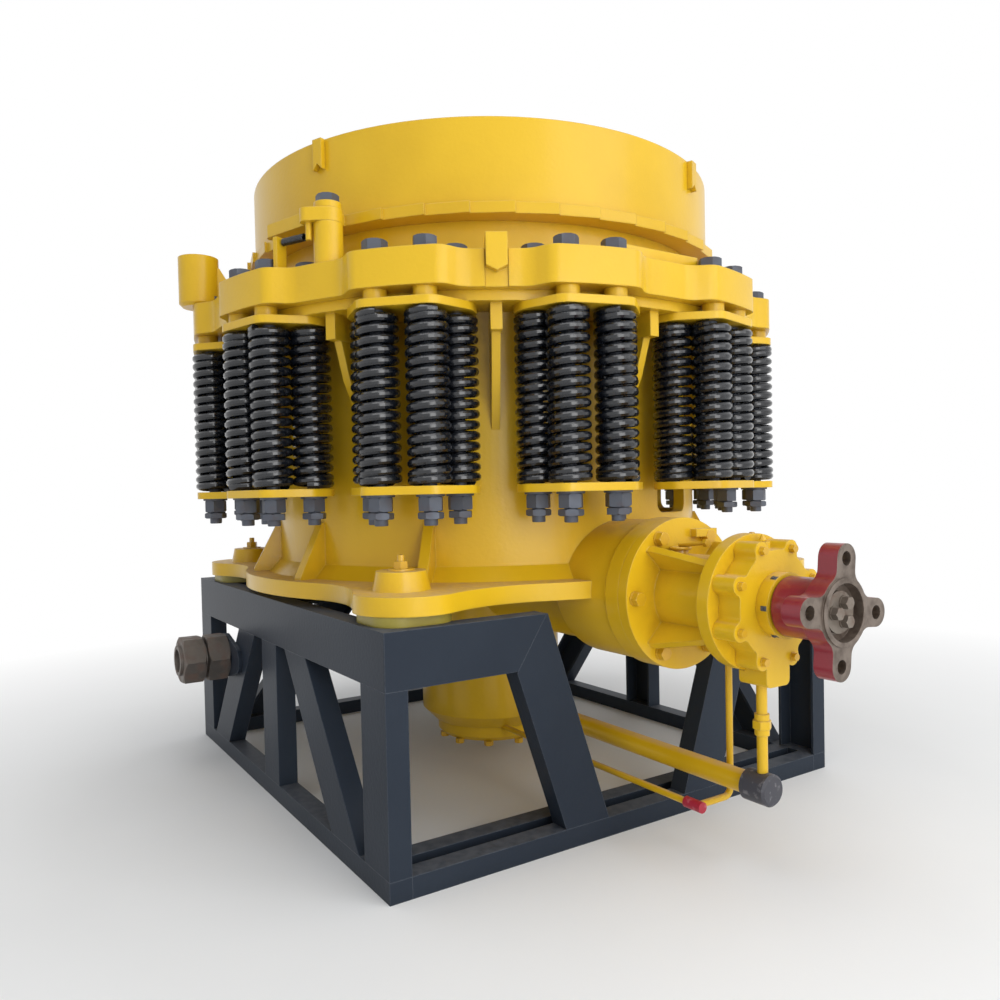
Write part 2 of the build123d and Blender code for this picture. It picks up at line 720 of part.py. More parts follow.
def ring_key():
    """Key block in the ring's waist, with its pointed lug outside."""
    bore = COLLAR_RADIUS + THREAD_GAP
    half = LUG_WIDTH / 2
    out = RING_WAIST_RADIUS
    block_part = key_slot() & upright(out - 4, RING_HEIGHT, RING_Z)
    block_part -= upright(bore, RING_HEIGHT, RING_Z)
    top = RING_TOP_Z + LUG_RISE
    foot = RING_TOP_Z - LUG_POINT
    points = [(-half, foot + half / 2), (0, foot), (half, foot + half / 2), (half, top), (-half, top)]
    with BuildPart() as lug:
        with BuildSketch(Plane.YZ):
            with BuildLine():
                Polyline(*points, close=True)
            make_face()
        extrude(amount=LUG_DEPTH)
    lug_part = Location((out - LUG_DEPTH / 2, 0, 0)) * lug.part
    lug_part += block(((bore + out) / 2, out), (-half, half), (RING_TOP_Z - 2, top))
    return [block_part + Location((0, 0, 0), (0, 0, KEY_ANGLE)) * lug_part]


def bowl():
    """Threaded bowl that screws into the adjustment ring and holds the liner."""
    inner = HOPPER_THROAT_RADIUS + LINER_WALL
    foot = LINER_FOOT_RADIUS + LINER_WALL - 12
    points = [(COLLAR_RADIUS, BAND_Z), (COLLAR_RADIUS, RING_Z), (BOWL_FOOT_RADIUS, RING_Z - CONE_DEPTH),
              (BOWL_FOOT_RADIUS, LINER_STEP_Z), (foot - 8, LINER_STEP_Z),
              (inner + 10, HOPPER_THROAT_Z - 60), (inner + 10, HOPPER_THROAT_Z - 20),
              (COLLAR_INNER_RADIUS, HOPPER_THROAT_Z - 60), (COLLAR_INNER_RADIUS, BAND_Z)]
    return [revolved(points)]


def bowl_liner():
    """Cast wear liner inside the bowl."""
    points = [(HOPPER_THROAT_RADIUS, HOPPER_THROAT_Z - 20), (LINER_FOOT_RADIUS - 10, LINER_STEP_Z),
              (LINER_FOOT_RADIUS, LINER_FOOT_Z), (LINER_FOOT_RADIUS + LINER_WALL - 14, LINER_FOOT_Z),
              (LINER_FOOT_RADIUS + LINER_WALL - 20 - SEAT_GAP, LINER_STEP_Z),
              (HOPPER_THROAT_RADIUS + LINER_WALL + 10 - SEAT_GAP, HOPPER_THROAT_Z - 60),
              (HOPPER_THROAT_RADIUS + LINER_WALL + 10 - SEAT_GAP, HOPPER_THROAT_Z - 20)]
    return [revolved(points)]


def tooth_band():
    """Ring of ratchet teeth round the foot of the cap."""
    step = 360 / TOOTH_COUNT
    root = BAND_RADIUS - TOOTH_DEPTH
    with BuildSketch() as sketch:
        with BuildLine():
            for index in range(TOOTH_COUNT):
                start = polar(root, index * step)
                crest = polar(BAND_RADIUS, (index + 1) * step)
                Line(start, crest)
                Line(crest, polar(root, (index + 1) * step))
        make_face()
        Circle(CAP_RADIUS - CAP_WALL, mode=Mode.SUBTRACT)
    return plate(sketch.sketch, BAND_Z, BAND_HEIGHT)


def cap_drum():
    """Feed cap: plate drum on a floor ring, with the ratchet teeth round its foot."""
    inner = CAP_RADIUS - CAP_WALL
    points = [(COLLAR_INNER_RADIUS, BAND_Z), (CAP_RADIUS, BAND_Z), (CAP_RADIUS, CAP_TOP_Z), (inner, CAP_TOP_Z),
              (inner, BAND_Z + CAP_WALL), (COLLAR_INNER_RADIUS, BAND_Z + CAP_WALL)]
    return [revolved(points) + tooth_band()]


def cap_hooks():
    """Notched lifting hooks near the cap's rim."""
    half = HOOK_WIDTH / 2
    low = CAP_TOP_Z - HOOK_HEIGHT
    points = [(-half, low), (0, low + half), (half, low), (half, CAP_TOP_Z), (-half, CAP_TOP_Z)]
    with BuildPart() as hook:
        with BuildSketch(Plane.YZ):
            with BuildLine():
                Polyline(*points, close=True)
            make_face()
        extrude(amount=CAP_RADIUS + HOOK_THICKNESS)
    body = hook.part - upright(CAP_RADIUS, CAP_TOP_Z, 0)
    turns = [HOOK_START + index * 360 / HOOK_COUNT for index in range(HOOK_COUNT)]
    return [Location((0, 0, 0), (0, 0, turn)) * body for turn in turns]


def feed_hopper():
    """Conical hopper plate inside the cap."""
    rim = CAP_RADIUS - CAP_WALL - SEAT_GAP
    top = CAP_TOP_Z - HOPPER_RIM_DROP
    throat = HOPPER_THROAT_RADIUS + 4
    points = [(throat, HOPPER_THROAT_Z - 20), (rim - HOPPER_WALL, top), (rim, top),
              (throat + 2 * HOPPER_WALL, HOPPER_THROAT_Z - 20)]
    return [revolved(points)]


def mantle():
    """Cast wear cone on the crushing head."""
    wall = MANTLE_WALL
    points = [(MANTLE_TOP_RADIUS, MANTLE_TOP_Z), (MANTLE_WAIST_RADIUS, MANTLE_WAIST_Z),
              (MANTLE_FOOT_RADIUS, MANTLE_FOOT_Z), (MANTLE_FOOT_RADIUS - wall, MANTLE_FOOT_Z),
              (MANTLE_WAIST_RADIUS - wall, MANTLE_WAIST_Z - 30), (MANTLE_TOP_RADIUS - wall, MANTLE_TOP_Z - 20),
              (MANTLE_TOP_RADIUS - wall, MANTLE_TOP_Z)]
    return [revolved(points)]


def crushing_head():
    """Head under the mantle, on its seat on the hub."""
    wall = MANTLE_WALL + SEAT_GAP
    points = [(0, HUB_TOP_Z), (HUB_RADIUS, HUB_TOP_Z), (MANTLE_FOOT_RADIUS - wall - 30, MANTLE_FOOT_Z),
              (MANTLE_FOOT_RADIUS - wall, MANTLE_FOOT_Z), (MANTLE_WAIST_RADIUS - wall, MANTLE_WAIST_Z - 30),
              (MANTLE_TOP_RADIUS - wall, MANTLE_TOP_Z - 20), (MANTLE_TOP_RADIUS - wall, MANTLE_TOP_Z + 10),
              (0, MANTLE_TOP_Z + 10)]
    return [revolved(points)]


def feed_plate():
    """Round plate on the head that spreads the feed."""
    disc = upright(FEED_PLATE_RADIUS, FEED_PLATE_THICKNESS, MANTLE_TOP_Z + 10)
    return [chamfer(disc.edges().sort_by(Axis.Z)[-1], FEED_PLATE_THICKNESS / 3)]


def post_place(z):
    """Centre of the pawl's post at a level."""
    return polar(POST_R, POST_ANGLE, z)


def pawl_post():
    """Round post on the ring, stepped for the pawl and capped by its washer."""
    centre = post_place(RING_TOP_Z)
    spot = (centre.X, centre.Y)
    body = upright(POST_RADIUS, POST_HEIGHT, RING_TOP_Z, spot)
    shoulder = RING_TOP_Z + POST_HEIGHT
    body += upright(PIVOT_RADIUS, PAWL_HEIGHT + 2 * SEAT_GAP, shoulder, spot)
    body += upright(WASHER_RADIUS, WASHER_THICKNESS, shoulder + PAWL_HEIGHT + 2 * SEAT_GAP, spot)
    return [body]


def pawl_arm(end, end_radius):
    """Tapered arm from the pawl's pivot to a rounded end."""
    pivot = post_place(0)
    with BuildSketch() as sketch:
        with Locations((pivot.X, pivot.Y)):
            Circle(POST_RADIUS)
        with Locations((end.X, end.Y)):
            Circle(end_radius)
        make_hull()
    return plate(sketch.sketch, PAWL_Z, PAWL_HEIGHT)


def pin_place(z):
    """Centre of the pawl's spring pin at a level."""
    return post_place(z) + polar(PIN_REACH, PIN_TURN)


def pawl():
    """Pawl on its post: spring pin outside, tail along the cap, and the nose beside the teeth."""
    nose_r = BAND_RADIUS + PAWL_CLEARANCE + NOSE_RADIUS
    pin = pin_place(0)
    body = pawl_arm(pin, PIN_CORNER)
    body += pawl_arm(post_place(0) + polar(TAIL_REACH, TAIL_TURN), TAIL_RADIUS)
    body += pawl_arm(polar(nose_r, NOSE_ANGLE), NOSE_RADIUS)
    pivot = post_place(0)
    body -= upright(PIVOT_RADIUS + SHAFT_GAP, PAWL_HEIGHT, PAWL_Z, (pivot.X, pivot.Y))
    return [body + upright(PIN_RADIUS, PIN_DROP, PAWL_Z - PIN_DROP, (pin.X, pin.Y))]


def spring_axis():
    """Ends of the pawl spring: the bar it hooks on, and the pawl's pin."""
    level = PAWL_Z - PIN_DROP + PAWL_SPRING_RADIUS
    return polar(POST_R + ANCHOR_BAR_OFFSET, ANCHOR_BAR_ANGLE, level), pin_place(level)


def pawl_spring():
    """Coil between the anchor bar and the pawl's pin."""
    bar, pin = spring_axis()
    run = pin - bar
    start = ANCHOR_BAR_THICKNESS / 2 + SEAT_GAP
    section = Plane(origin=bar + run.normalized() * start, z_dir=run.normalized())
    with BuildPart() as coil:
        with BuildSketch(section):
            Circle(PAWL_SPRING_RADIUS)
        extrude(amount=run.length - start - PIN_RADIUS - SEAT_GAP)
    return [coil.part]


def spring_anchor():
    """Flat bar on the ring that holds the pawl spring's far end."""
    bar, pin = spring_axis()
    turn = degrees(atan2(pin.Y - bar.Y, pin.X - bar.X))
    thick = ANCHOR_BAR_THICKNESS / 2
    wide = ANCHOR_BAR_WIDTH / 2
    body = block((-thick, thick), (-wide, wide), (RING_TOP_Z, RING_TOP_Z + ANCHOR_BAR_HEIGHT))
    return [Location((bar.X, bar.Y, 0), (0, 0, turn)) * body]


def ram_post():
    """Round boss for the ring's turning ram, with the web that ties it inwards."""
    centre = polar(RAM_POST_R, RAM_POST_ANGLE)
    body = upright(RAM_POST_RADIUS, RAM_POST_HEIGHT, RING_TOP_Z, (centre.X, centre.Y))
    body = chamfer(body.edges().sort_by(Axis.Z)[0], RAM_POST_RADIUS / 6)
    outer = RAM_POST_R - RAM_POST_RADIUS
    inner = outer - RAM_WEB_REACH
    top = RING_TOP_Z + 0.8 * RAM_POST_HEIGHT
    points = [(inner, RING_TOP_Z), (RAM_POST_R, RING_TOP_Z), (RAM_POST_R, top), (outer, top),
              (inner, RING_TOP_Z + RAM_WEB_THICKNESS / 2)]
    return [body + radial_plate(points, RAM_WEB_THICKNESS, RAM_POST_ANGLE)]


def drive_housing():
    """Countershaft housing: flange, ribbed neck and bearing ring."""
    body = along_x(TUBE_RING_RADIUS, HOUSING_X, HOUSING_X + HOUSING_FLANGE_THICKNESS)
    body += along_x(NECK_RADIUS, HOUSING_X, BEARING_RING_X)
    body += along_x(BEARING_RING_RADIUS, BEARING_RING_X, COVER_X)
    face = HOUSING_X + HOUSING_FLANGE_THICKNESS
    rib = (SHAFT_Z - NECK_RIB_TOP, SHAFT_Z + NECK_RIB_TOP)
    body += block((face, BEARING_RING_X), (-NECK_RIB_HALF, NECK_RIB_HALF), rib)
    points = [(face, -NECK_WEB_ROOT), (face + NECK_WEB_THICKNESS, -NECK_WEB_ROOT),
              (BEARING_RING_X, -NECK_WEB_TIP), (BEARING_RING_X, 0), (face, 0)]
    web = radial_plate(points, NECK_WEB_THICKNESS, 0)
    for turn in (-45, 45, 135, 225):
        body += Location((0, 0, SHAFT_Z), (turn, 0, 0)) * web
    lug_y = (HOUSING_LUG_Y, HOUSING_LUG_Y + HOUSING_LUG_WIDTH)
    lug_top = SHAFT_Z + sqrt(TUBE_RING_RADIUS ** 2 - lug_y[1] ** 2)
    body += block((face, face + HOUSING_LUG_HEIGHT), lug_y, (lug_top - HOUSING_LUG_HEIGHT, lug_top))
    return [body - along_x(HOUSING_BORE, HOUSING_X, COVER_X)]


def bearing_cover():
    """Cover with eight bolt ears, the oil sump under it and its breather on top."""
    with BuildSketch() as outline:
        Circle(COVER_RADIUS)
        with PolarLocations(EAR_CIRCLE_RADIUS, EAR_COUNT, start_angle=180 / EAR_COUNT):
            Circle(EAR_RADIUS)
        fillet(hollows(outline, COVER_RADIUS), EAR_HOLLOW_RADIUS)
    body = upended_plate(outline.sketch, COVER_X, COVER_X_END - COVER_X)
    half = SUMP_WIDTH / 2
    sump = block((SUMP_X, COVER_X_END), (-half, half), (SHAFT_Z - SUMP_DROP, SHAFT_Z))
    sump = fillet(sump.edges().filter_by(Axis.X).group_by(Axis.Z)[0], SUMP_CORNER)
    body += sump - along_x(BEARING_RING_RADIUS + SEAT_GAP, SUMP_X, COVER_X)
    top = SHAFT_Z + COVER_RADIUS - BREATHER_RADIUS
    body += upright(BREATHER_RADIUS, BREATHER_HEIGHT, top, ((COVER_X + COVER_X_END) / 2, 0))
    return [body - along_x(HOUSING_BORE, COVER_X, COVER_X_END)]


def seal_retainer():
    """Ring that holds the shaft seal and carries the shaft's outer end."""
    body = along_x(RETAINER_RADIUS, COVER_X_END, RETAINER_X_END)
    body += along_x(HOUSING_BORE - SEAT_GAP, COVER_X, COVER_X_END)
    return [body - along_x(SHAFT_RADIUS + SHAFT_GAP, COVER_X, RETAINER_X_END)]


def shaft_end_x():
    """Outer end of the drive shaft, inside the coupling's recess."""
    return COUPLING_FACE_X - COUPLING_RECESS_DEPTH


def drive_shaft():
    """Drive shaft."""
    body = along_x(SHAFT_RADIUS, SHAFT_START, shaft_end_x())
    return [body]


def coupling():
    """Cross-shaped drive flange with four bolt arms on its hub."""
    back = COUPLING_FACE_X - COUPLING_THICKNESS
    with BuildSketch() as cross:
        Circle(COUPLING_DISC_RADIUS)
        for turn in (COUPLING_TURN, COUPLING_TURN + 90):
            SlotOverall(COUPLING_PCD + 2 * COUPLING_TIP_RADIUS, 2 * COUPLING_TIP_RADIUS, rotation=turn)
        fillet(hollows(cross, COUPLING_DISC_RADIUS), COUPLING_HOLLOW_RADIUS)
        with PolarLocations(COUPLING_PCD / 2, 4, start_angle=COUPLING_TURN):
            Circle(COUPLING_HOLE_RADIUS, mode=Mode.SUBTRACT)
    body = upended_plate(cross.sketch, back, COUPLING_THICKNESS - COUPLING_RING_RISE)
    body += along_x(COUPLING_RING_RADIUS, back, COUPLING_FACE_X)
    body += along_x(COUPLING_HUB_RADIUS, COUPLING_HUB_X, back)
    body -= along_x(COUPLING_RECESS_RADIUS, shaft_end_x(), COUPLING_FACE_X)
    return [body - along_x(SHAFT_RADIUS + SHAFT_GAP, COUPLING_HUB_X, COUPLING_FACE_X)]


def shaft_end_plate():
    """Plate on the shaft's end that keeps the coupling on."""
    return [along_x(END_PLATE_RADIUS, shaft_end_x(), shaft_end_x() + END_PLATE_THICKNESS)]


def drain_pipe():
    """Oil return pipe from the hub to the fitting under the drive."""
    return [along_x(DRAIN_RADIUS, HUB_RADIUS / 2, DRAIN_TEE_X, 0, DRAIN_Z) - hub_barrel()]


def drain_fitting():
    """Capped fitting at the end of the return pipe."""
    body = along_x(DRAIN_TEE_RADIUS, DRAIN_TEE_X, DRAIN_TEE_X + DRAIN_TEE_LENGTH, 0, DRAIN_Z)
    return [chamfer(body.edges().sort_by(Axis.X)[-1], DRAIN_TEE_CHAMFER)]


def sump_drop_pipe():
    """Pipe with a union, from the sump down to the return pipe's fitting."""
    spot = (DROP_PIPE_X, 0)
    top = SHAFT_Z - SUMP_DROP
    body = upright(DROP_PIPE_RADIUS, top - DRAIN_Z, DRAIN_Z, spot)
    body += upright(UNION_COLLAR_RADIUS, UNION_COLLAR_HEIGHT, UNION_Z - UNION_COLLAR_HEIGHT / 2, spot)
    nut = hexagon_nut(UNION_NUT_WIDTH, UNION_NUT_HEIGHT)
    body += Location((DROP_PIPE_X, 0, UNION_Z - UNION_NUT_HEIGHT / 2)) * nut
    fitting_end = DRAIN_TEE_X + DRAIN_TEE_LENGTH
    return [body - along_x(DRAIN_TEE_RADIUS + SEAT_GAP, DRAIN_TEE_X, fitting_end, 0, DRAIN_Z)]


def vent_pipe():
    """Thin pipe from under the neck down behind the return pipe, and across to the tee."""
    start = Vector(VENT_X, VENT_Y, SHAFT_Z - NECK_RADIUS / 2)
    bend = Vector(VENT_X, VENT_Y, THIN_PIPE_Z)
    end = Vector(VENT_X, THIN_PIPE_Y, THIN_PIPE_Z)
    with BuildPart() as pipe:
        with BuildLine() as path:
            FilletPolyline(start, bend, end, radius=VENT_BEND)
        with BuildSketch(Plane(origin=start, z_dir=(0, 0, -1))):
            Circle(VENT_RADIUS)
        sweep(path=path.line)
    body = pipe.part - along_x(NECK_RADIUS + SEAT_GAP, HOUSING_X, BEARING_RING_X)
    rib = (SHAFT_Z - NECK_RIB_TOP, SHAFT_Z)
    body -= block((HOUSING_X, BEARING_RING_X), (-NECK_RIB_HALF, NECK_RIB_HALF), rib)
    tee = along_x(TEE_RADIUS + SEAT_GAP, TEE_X - TEE_LENGTH, TEE_X + TEE_LENGTH, THIN_PIPE_Y, THIN_PIPE_Z)
    return [body - tee]


def thin_pipe():
    """Thin oil pipe from the hub's tapered foot to the tee."""
    start = sqrt((HUB_RADIUS - HUB_TAPER) ** 2 - THIN_PIPE_Y ** 2)
    return [along_x(VENT_RADIUS, start, TEE_X - TEE_LENGTH / 2, THIN_PIPE_Y, THIN_PIPE_Z) - hub_barrel()]


def pipe_tee():
    """Tee with its plug at the thin pipe's end."""
    half = TEE_LENGTH / 2
    body = along_x(TEE_RADIUS, TEE_X - half, TEE_X + half, THIN_PIPE_Y, THIN_PIPE_Z)
    return [body]


def side_stub():
    """Threaded stub with two hexagon nuts on the stand's side."""
    length = 2 * STUB_NUT_HEIGHT + STUB_NUT_GROOVE + STUB_END
    nut = hexagon_nut(STUB_NUT_WIDTH, STUB_NUT_HEIGHT)
    body = upright(STUB_RADIUS, length, 0) + nut
    body += Location((0, 0, STUB_NUT_HEIGHT + STUB_NUT_GROOVE)) * nut
    body -= upright(STUB_BORE_RADIUS, STUB_BORE_DEPTH, length - STUB_BORE_DEPTH)
    return [Location((STUB_X, -STAND_HALF_WIDTH - STUB_PLATE_THICKNESS, STUB_Z), (90, 0, 0)) * body]


def side_stub_plate():
    """Eye plate that carries the stub on the stand's brace."""
    with BuildSketch() as outline:
        Circle(STUB_COLLAR_RADIUS)
        with Locations((STUB_LUG_X - STUB_X, 0)):
            Circle(STUB_LUG_RADIUS)
        make_hull()
    flat = plate(outline.sketch, 0, STUB_PLATE_THICKNESS)
    return [Location((STUB_X, -STAND_HALF_WIDTH, STUB_Z), (90, 0, 0)) * flat]


def save(name, solids):
    """Write one node, moved so that the model's origin is under its middle."""
    moved = [Location((-ORIGIN_X, 0, 0)) * solid for solid in solids]
    shape = moved[0] if len(moved) == 1 else Compound(children=moved)
    export_step(shape, os.path.join("parts", name + ".step"))


def nodes():
    """Every node's name with its solids."""
    angles = set_angles()
    third = SPRING_SETS // 3
    made = {
        "stand_top_side_rails": stand_top_side_rails(),
        "stand_top_end_rails": stand_top_end_rails(),
        "stand_front_legs": stand_front_legs(),
        "stand_corner_posts": stand_corner_posts(),
        "stand_left_braces": brace_set(0, -1),
        "stand_right_braces": brace_set(0, 1),
        "stand_rear_braces": brace_set(-1, 0),
        "stand_bottom_side_rails": stand_bottom_rails(),
        "stand_bottom_cross_rails": stand_bottom_cross_rails(),
        "corner_shims": corner_shims(),
        "main_frame": main_frame(),
        "centre_hub": centre_hub(),
        "hub_bottom_cover": hub_bottom_cover(),
        "lower_spring_plates": lower_spring_plates(),
        "upper_spring_plates": upper_spring_plates(),
        "adjustment_ring": adjustment_ring(),
        "ring_key": ring_key(),
        "bowl": bowl(),
        "bowl_liner": bowl_liner(),
        "cap_drum": cap_drum(),
        "cap_hooks": cap_hooks(),
        "feed_hopper": feed_hopper(),
        "mantle": mantle(),
        "crushing_head": crushing_head(),
        "feed_plate": feed_plate(),
        "pawl_post": pawl_post(),
        "pawl": pawl(),
        "pawl_spring": pawl_spring(),
        "spring_anchor": spring_anchor(),
        "ram_post": ram_post(),
        "drive_housing": drive_housing(),
        "bearing_cover": bearing_cover(),
        "seal_retainer": seal_retainer(),
        "drive_shaft": drive_shaft(),
        "coupling": coupling(),
        "shaft_end_plate": shaft_end_plate(),
        "drain_pipe": drain_pipe(),
        "drain_fitting": drain_fitting(),
        "sump_drop_pipe": sump_drop_pipe(),
        "vent_pipe": vent_pipe(),
        "thin_pipe": thin_pipe(),
        "pipe_tee": pipe_tee(),
        "side_stub": side_stub(),
        "side_stub_plate": side_stub_plate(),
    }
    for index in range(3):
        made["springs_%d" % (index + 1)] = springs(angles[index * third:(index + 1) * third])
    return made


def main():
    """Build every node and write it."""
    os.makedirs("parts", exist_ok=True)
    for name, solids in nodes().items():
        save(name, solids)


main()
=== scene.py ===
"""A spring cone crusher on its channel stand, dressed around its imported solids.

Every length is in metres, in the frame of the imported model: Z up, X along the drive shaft, and
the crusher's own upright axis a little behind the origin. The classes below are the machine's
sub-assemblies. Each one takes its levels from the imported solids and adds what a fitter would
put on: coil springs, bolts, nuts, washers and the oil fittings. Every solid gets its paint.
"""
import sys
import json
import logging
import math
import random
from dataclasses import dataclass, field
from enum import Enum
from functools import partial
from typing import ClassVar, Iterable, Sequence

import bmesh
import bpy
from bmesh.types import BMEdge, BMesh
from bpy.types import Material, Node, NodeSocket, NodeTree
from mathutils import Matrix, Vector


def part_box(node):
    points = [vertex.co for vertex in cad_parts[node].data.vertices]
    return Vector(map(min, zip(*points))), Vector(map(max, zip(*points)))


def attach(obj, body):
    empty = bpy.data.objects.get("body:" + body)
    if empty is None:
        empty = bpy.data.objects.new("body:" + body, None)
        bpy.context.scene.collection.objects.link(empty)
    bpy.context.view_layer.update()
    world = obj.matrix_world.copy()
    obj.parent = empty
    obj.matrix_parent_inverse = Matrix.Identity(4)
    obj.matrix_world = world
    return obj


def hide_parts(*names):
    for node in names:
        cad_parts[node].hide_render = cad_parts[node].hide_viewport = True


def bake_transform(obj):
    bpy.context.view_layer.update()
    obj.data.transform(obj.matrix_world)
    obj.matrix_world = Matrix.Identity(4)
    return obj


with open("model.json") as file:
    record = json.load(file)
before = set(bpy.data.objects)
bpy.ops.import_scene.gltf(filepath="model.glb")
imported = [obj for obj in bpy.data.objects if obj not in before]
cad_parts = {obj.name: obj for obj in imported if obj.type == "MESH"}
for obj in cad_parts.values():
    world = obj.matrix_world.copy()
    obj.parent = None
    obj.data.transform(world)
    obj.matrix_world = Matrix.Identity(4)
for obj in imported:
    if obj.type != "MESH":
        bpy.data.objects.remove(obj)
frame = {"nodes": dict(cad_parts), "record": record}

LOG = logging.getLogger("crusher")
FULL_TURN = 2 * math.pi
QUARTER_TURN = math.pi / 2
HERE = Matrix.Identity(4)
DOWN = Matrix.Rotation(math.pi, 4, "X")

# How solids are smoothed
SMOOTH_ANGLE = math.radians(24)
FLAT_ANGLE = math.radians(0.4)
MERGE_DISTANCE = 0.00002

# Forged hexagons: corner over half width, chamfer angle, and where the chamfer starts
HEX_CORNER = 2 / math.sqrt(3)
CHAMFER = math.radians(28)
CHAMFER_START = 0.985
CHAMFER_CUTS = 12

# Edge breaks of turned parts
FINE_EDGE = 0.001
STUD_EDGE = 0.002

# Inputs of a colour mix: how much of the second colour, then the two colours
SHARE, UNDER, OVER = 0, 6, 7

Span = dict[str, float]


class Body(Enum):
    """The bodies that pieces ride on."""

    FRAME = "frame"
    BOWL = "bowl_assembly"
    DRIVE = "drive_line"
    PAWL = "pawl_lever"


class Slot(Enum):
    """The material slots of the record."""

    YELLOW = "yellow_paint"
    STAND = "stand_paint"
    SPRING = "black_spring"
    RED = "red_paint"
    MACHINED = "machined_steel"
    WEAR = "wear_steel"
    DARK_PLASTIC = "dark_plastic"
    RED_PLASTIC = "red_plastic"
    GREY = "grey_steel"


def linear(code: str) -> tuple[float, float, float, float]:
    """Turn an sRGB hex colour into linear values.

    Args:
        code: the colour, such as "#E0B01C".

    Returns:
        Red, green, blue and an alpha of one.
    """
    levels = [int(code[start:start + 2], 16) / 255 for start in (1, 3, 5)]
    red, green, blue = [v / 12.92 if v <= 0.04045 else ((v + 0.055) / 1.055) ** 2.4 for v in levels]
    return red, green, blue, 1.0


def raised(level: float) -> Matrix:
    """A place straight above the middle."""
    return Matrix.Translation((0, 0, level))


def set_inputs(tree: NodeTree, node: Node, sockets: dict) -> None:
    """Set or feed a node's inputs.

    Args:
        tree: the node's tree.
        node: the node.
        sockets: for each input, by name or number, a value, the output that feeds it, or a node
            whose first output in use does.
    """
    for socket, source in sockets.items():
        if isinstance(source, Node):
            source = next(output for output in source.outputs if output.enabled)
        if isinstance(source, NodeSocket):
            tree.links.new(source, node.inputs[socket])
        else:
            node.inputs[socket].default_value = source


def add_node(tree: NodeTree, kind: str, sockets: dict | None = None, **settings) -> Node:
    """Add a shader node with its settings, its values and its links.

    Args:
        tree: the material's or world's node tree.
        kind: the node's type, without its prefix.
        sockets: its inputs, as in set_inputs.
        settings: the node's own options.

    Returns:
        The new node.
    """
    node = tree.nodes.new("ShaderNode" + kind)
    for option, value in settings.items():
        setattr(node, option, value)
    set_inputs(tree, node, sockets or {})
    return node


def seen_rays(tree: NodeTree) -> Node:
    """Tell the rays that see the backdrop from those that light the machine.

    Args:
        tree: the floor's or the world's node tree.

    Returns:
        A node that gives one for camera, glossy and transmission rays, and zero for the rest.
    """
    path = add_node(tree, "LightPath").outputs
    either = {0: path["Is Camera Ray"], 1: path["Is Glossy Ray"]}
    mirrored = add_node(tree, "Math", either, operation="MAXIMUM")
    return add_node(tree, "Math", {0: mirrored, 1: path["Is Transmission Ray"]}, operation="MAXIMUM")


@dataclass(frozen=True)
class Finish:
    """What every finish has: its name, its slot in the record, its colour and its gloss."""

    name: str
    slot: Slot
    colour: str
    roughness: float = 0.4
    metallic: float = 0.0

    def material(self) -> Material:
        """Make the finish as a node material."""
        made = bpy.data.materials.new(self.name)
        made.use_nodes = True
        tree = made.node_tree
        tree.nodes.clear()
        place = add_node(tree, "TexCoord").outputs["Object"]
        shader = add_node(tree, "BsdfPrincipled", {"Metallic": self.metallic, "Roughness": self.roughness})
        self.dress(tree, place, shader)
        add_node(tree, "OutputMaterial", {"Surface": shader})
        return made

    def dress(self, tree: NodeTree, place: NodeSocket, shader: Node) -> None:
        """Give the shader its pattern; a plain finish has its colour alone."""
        set_inputs(tree, shader, {"Base Color": linear(self.colour)})


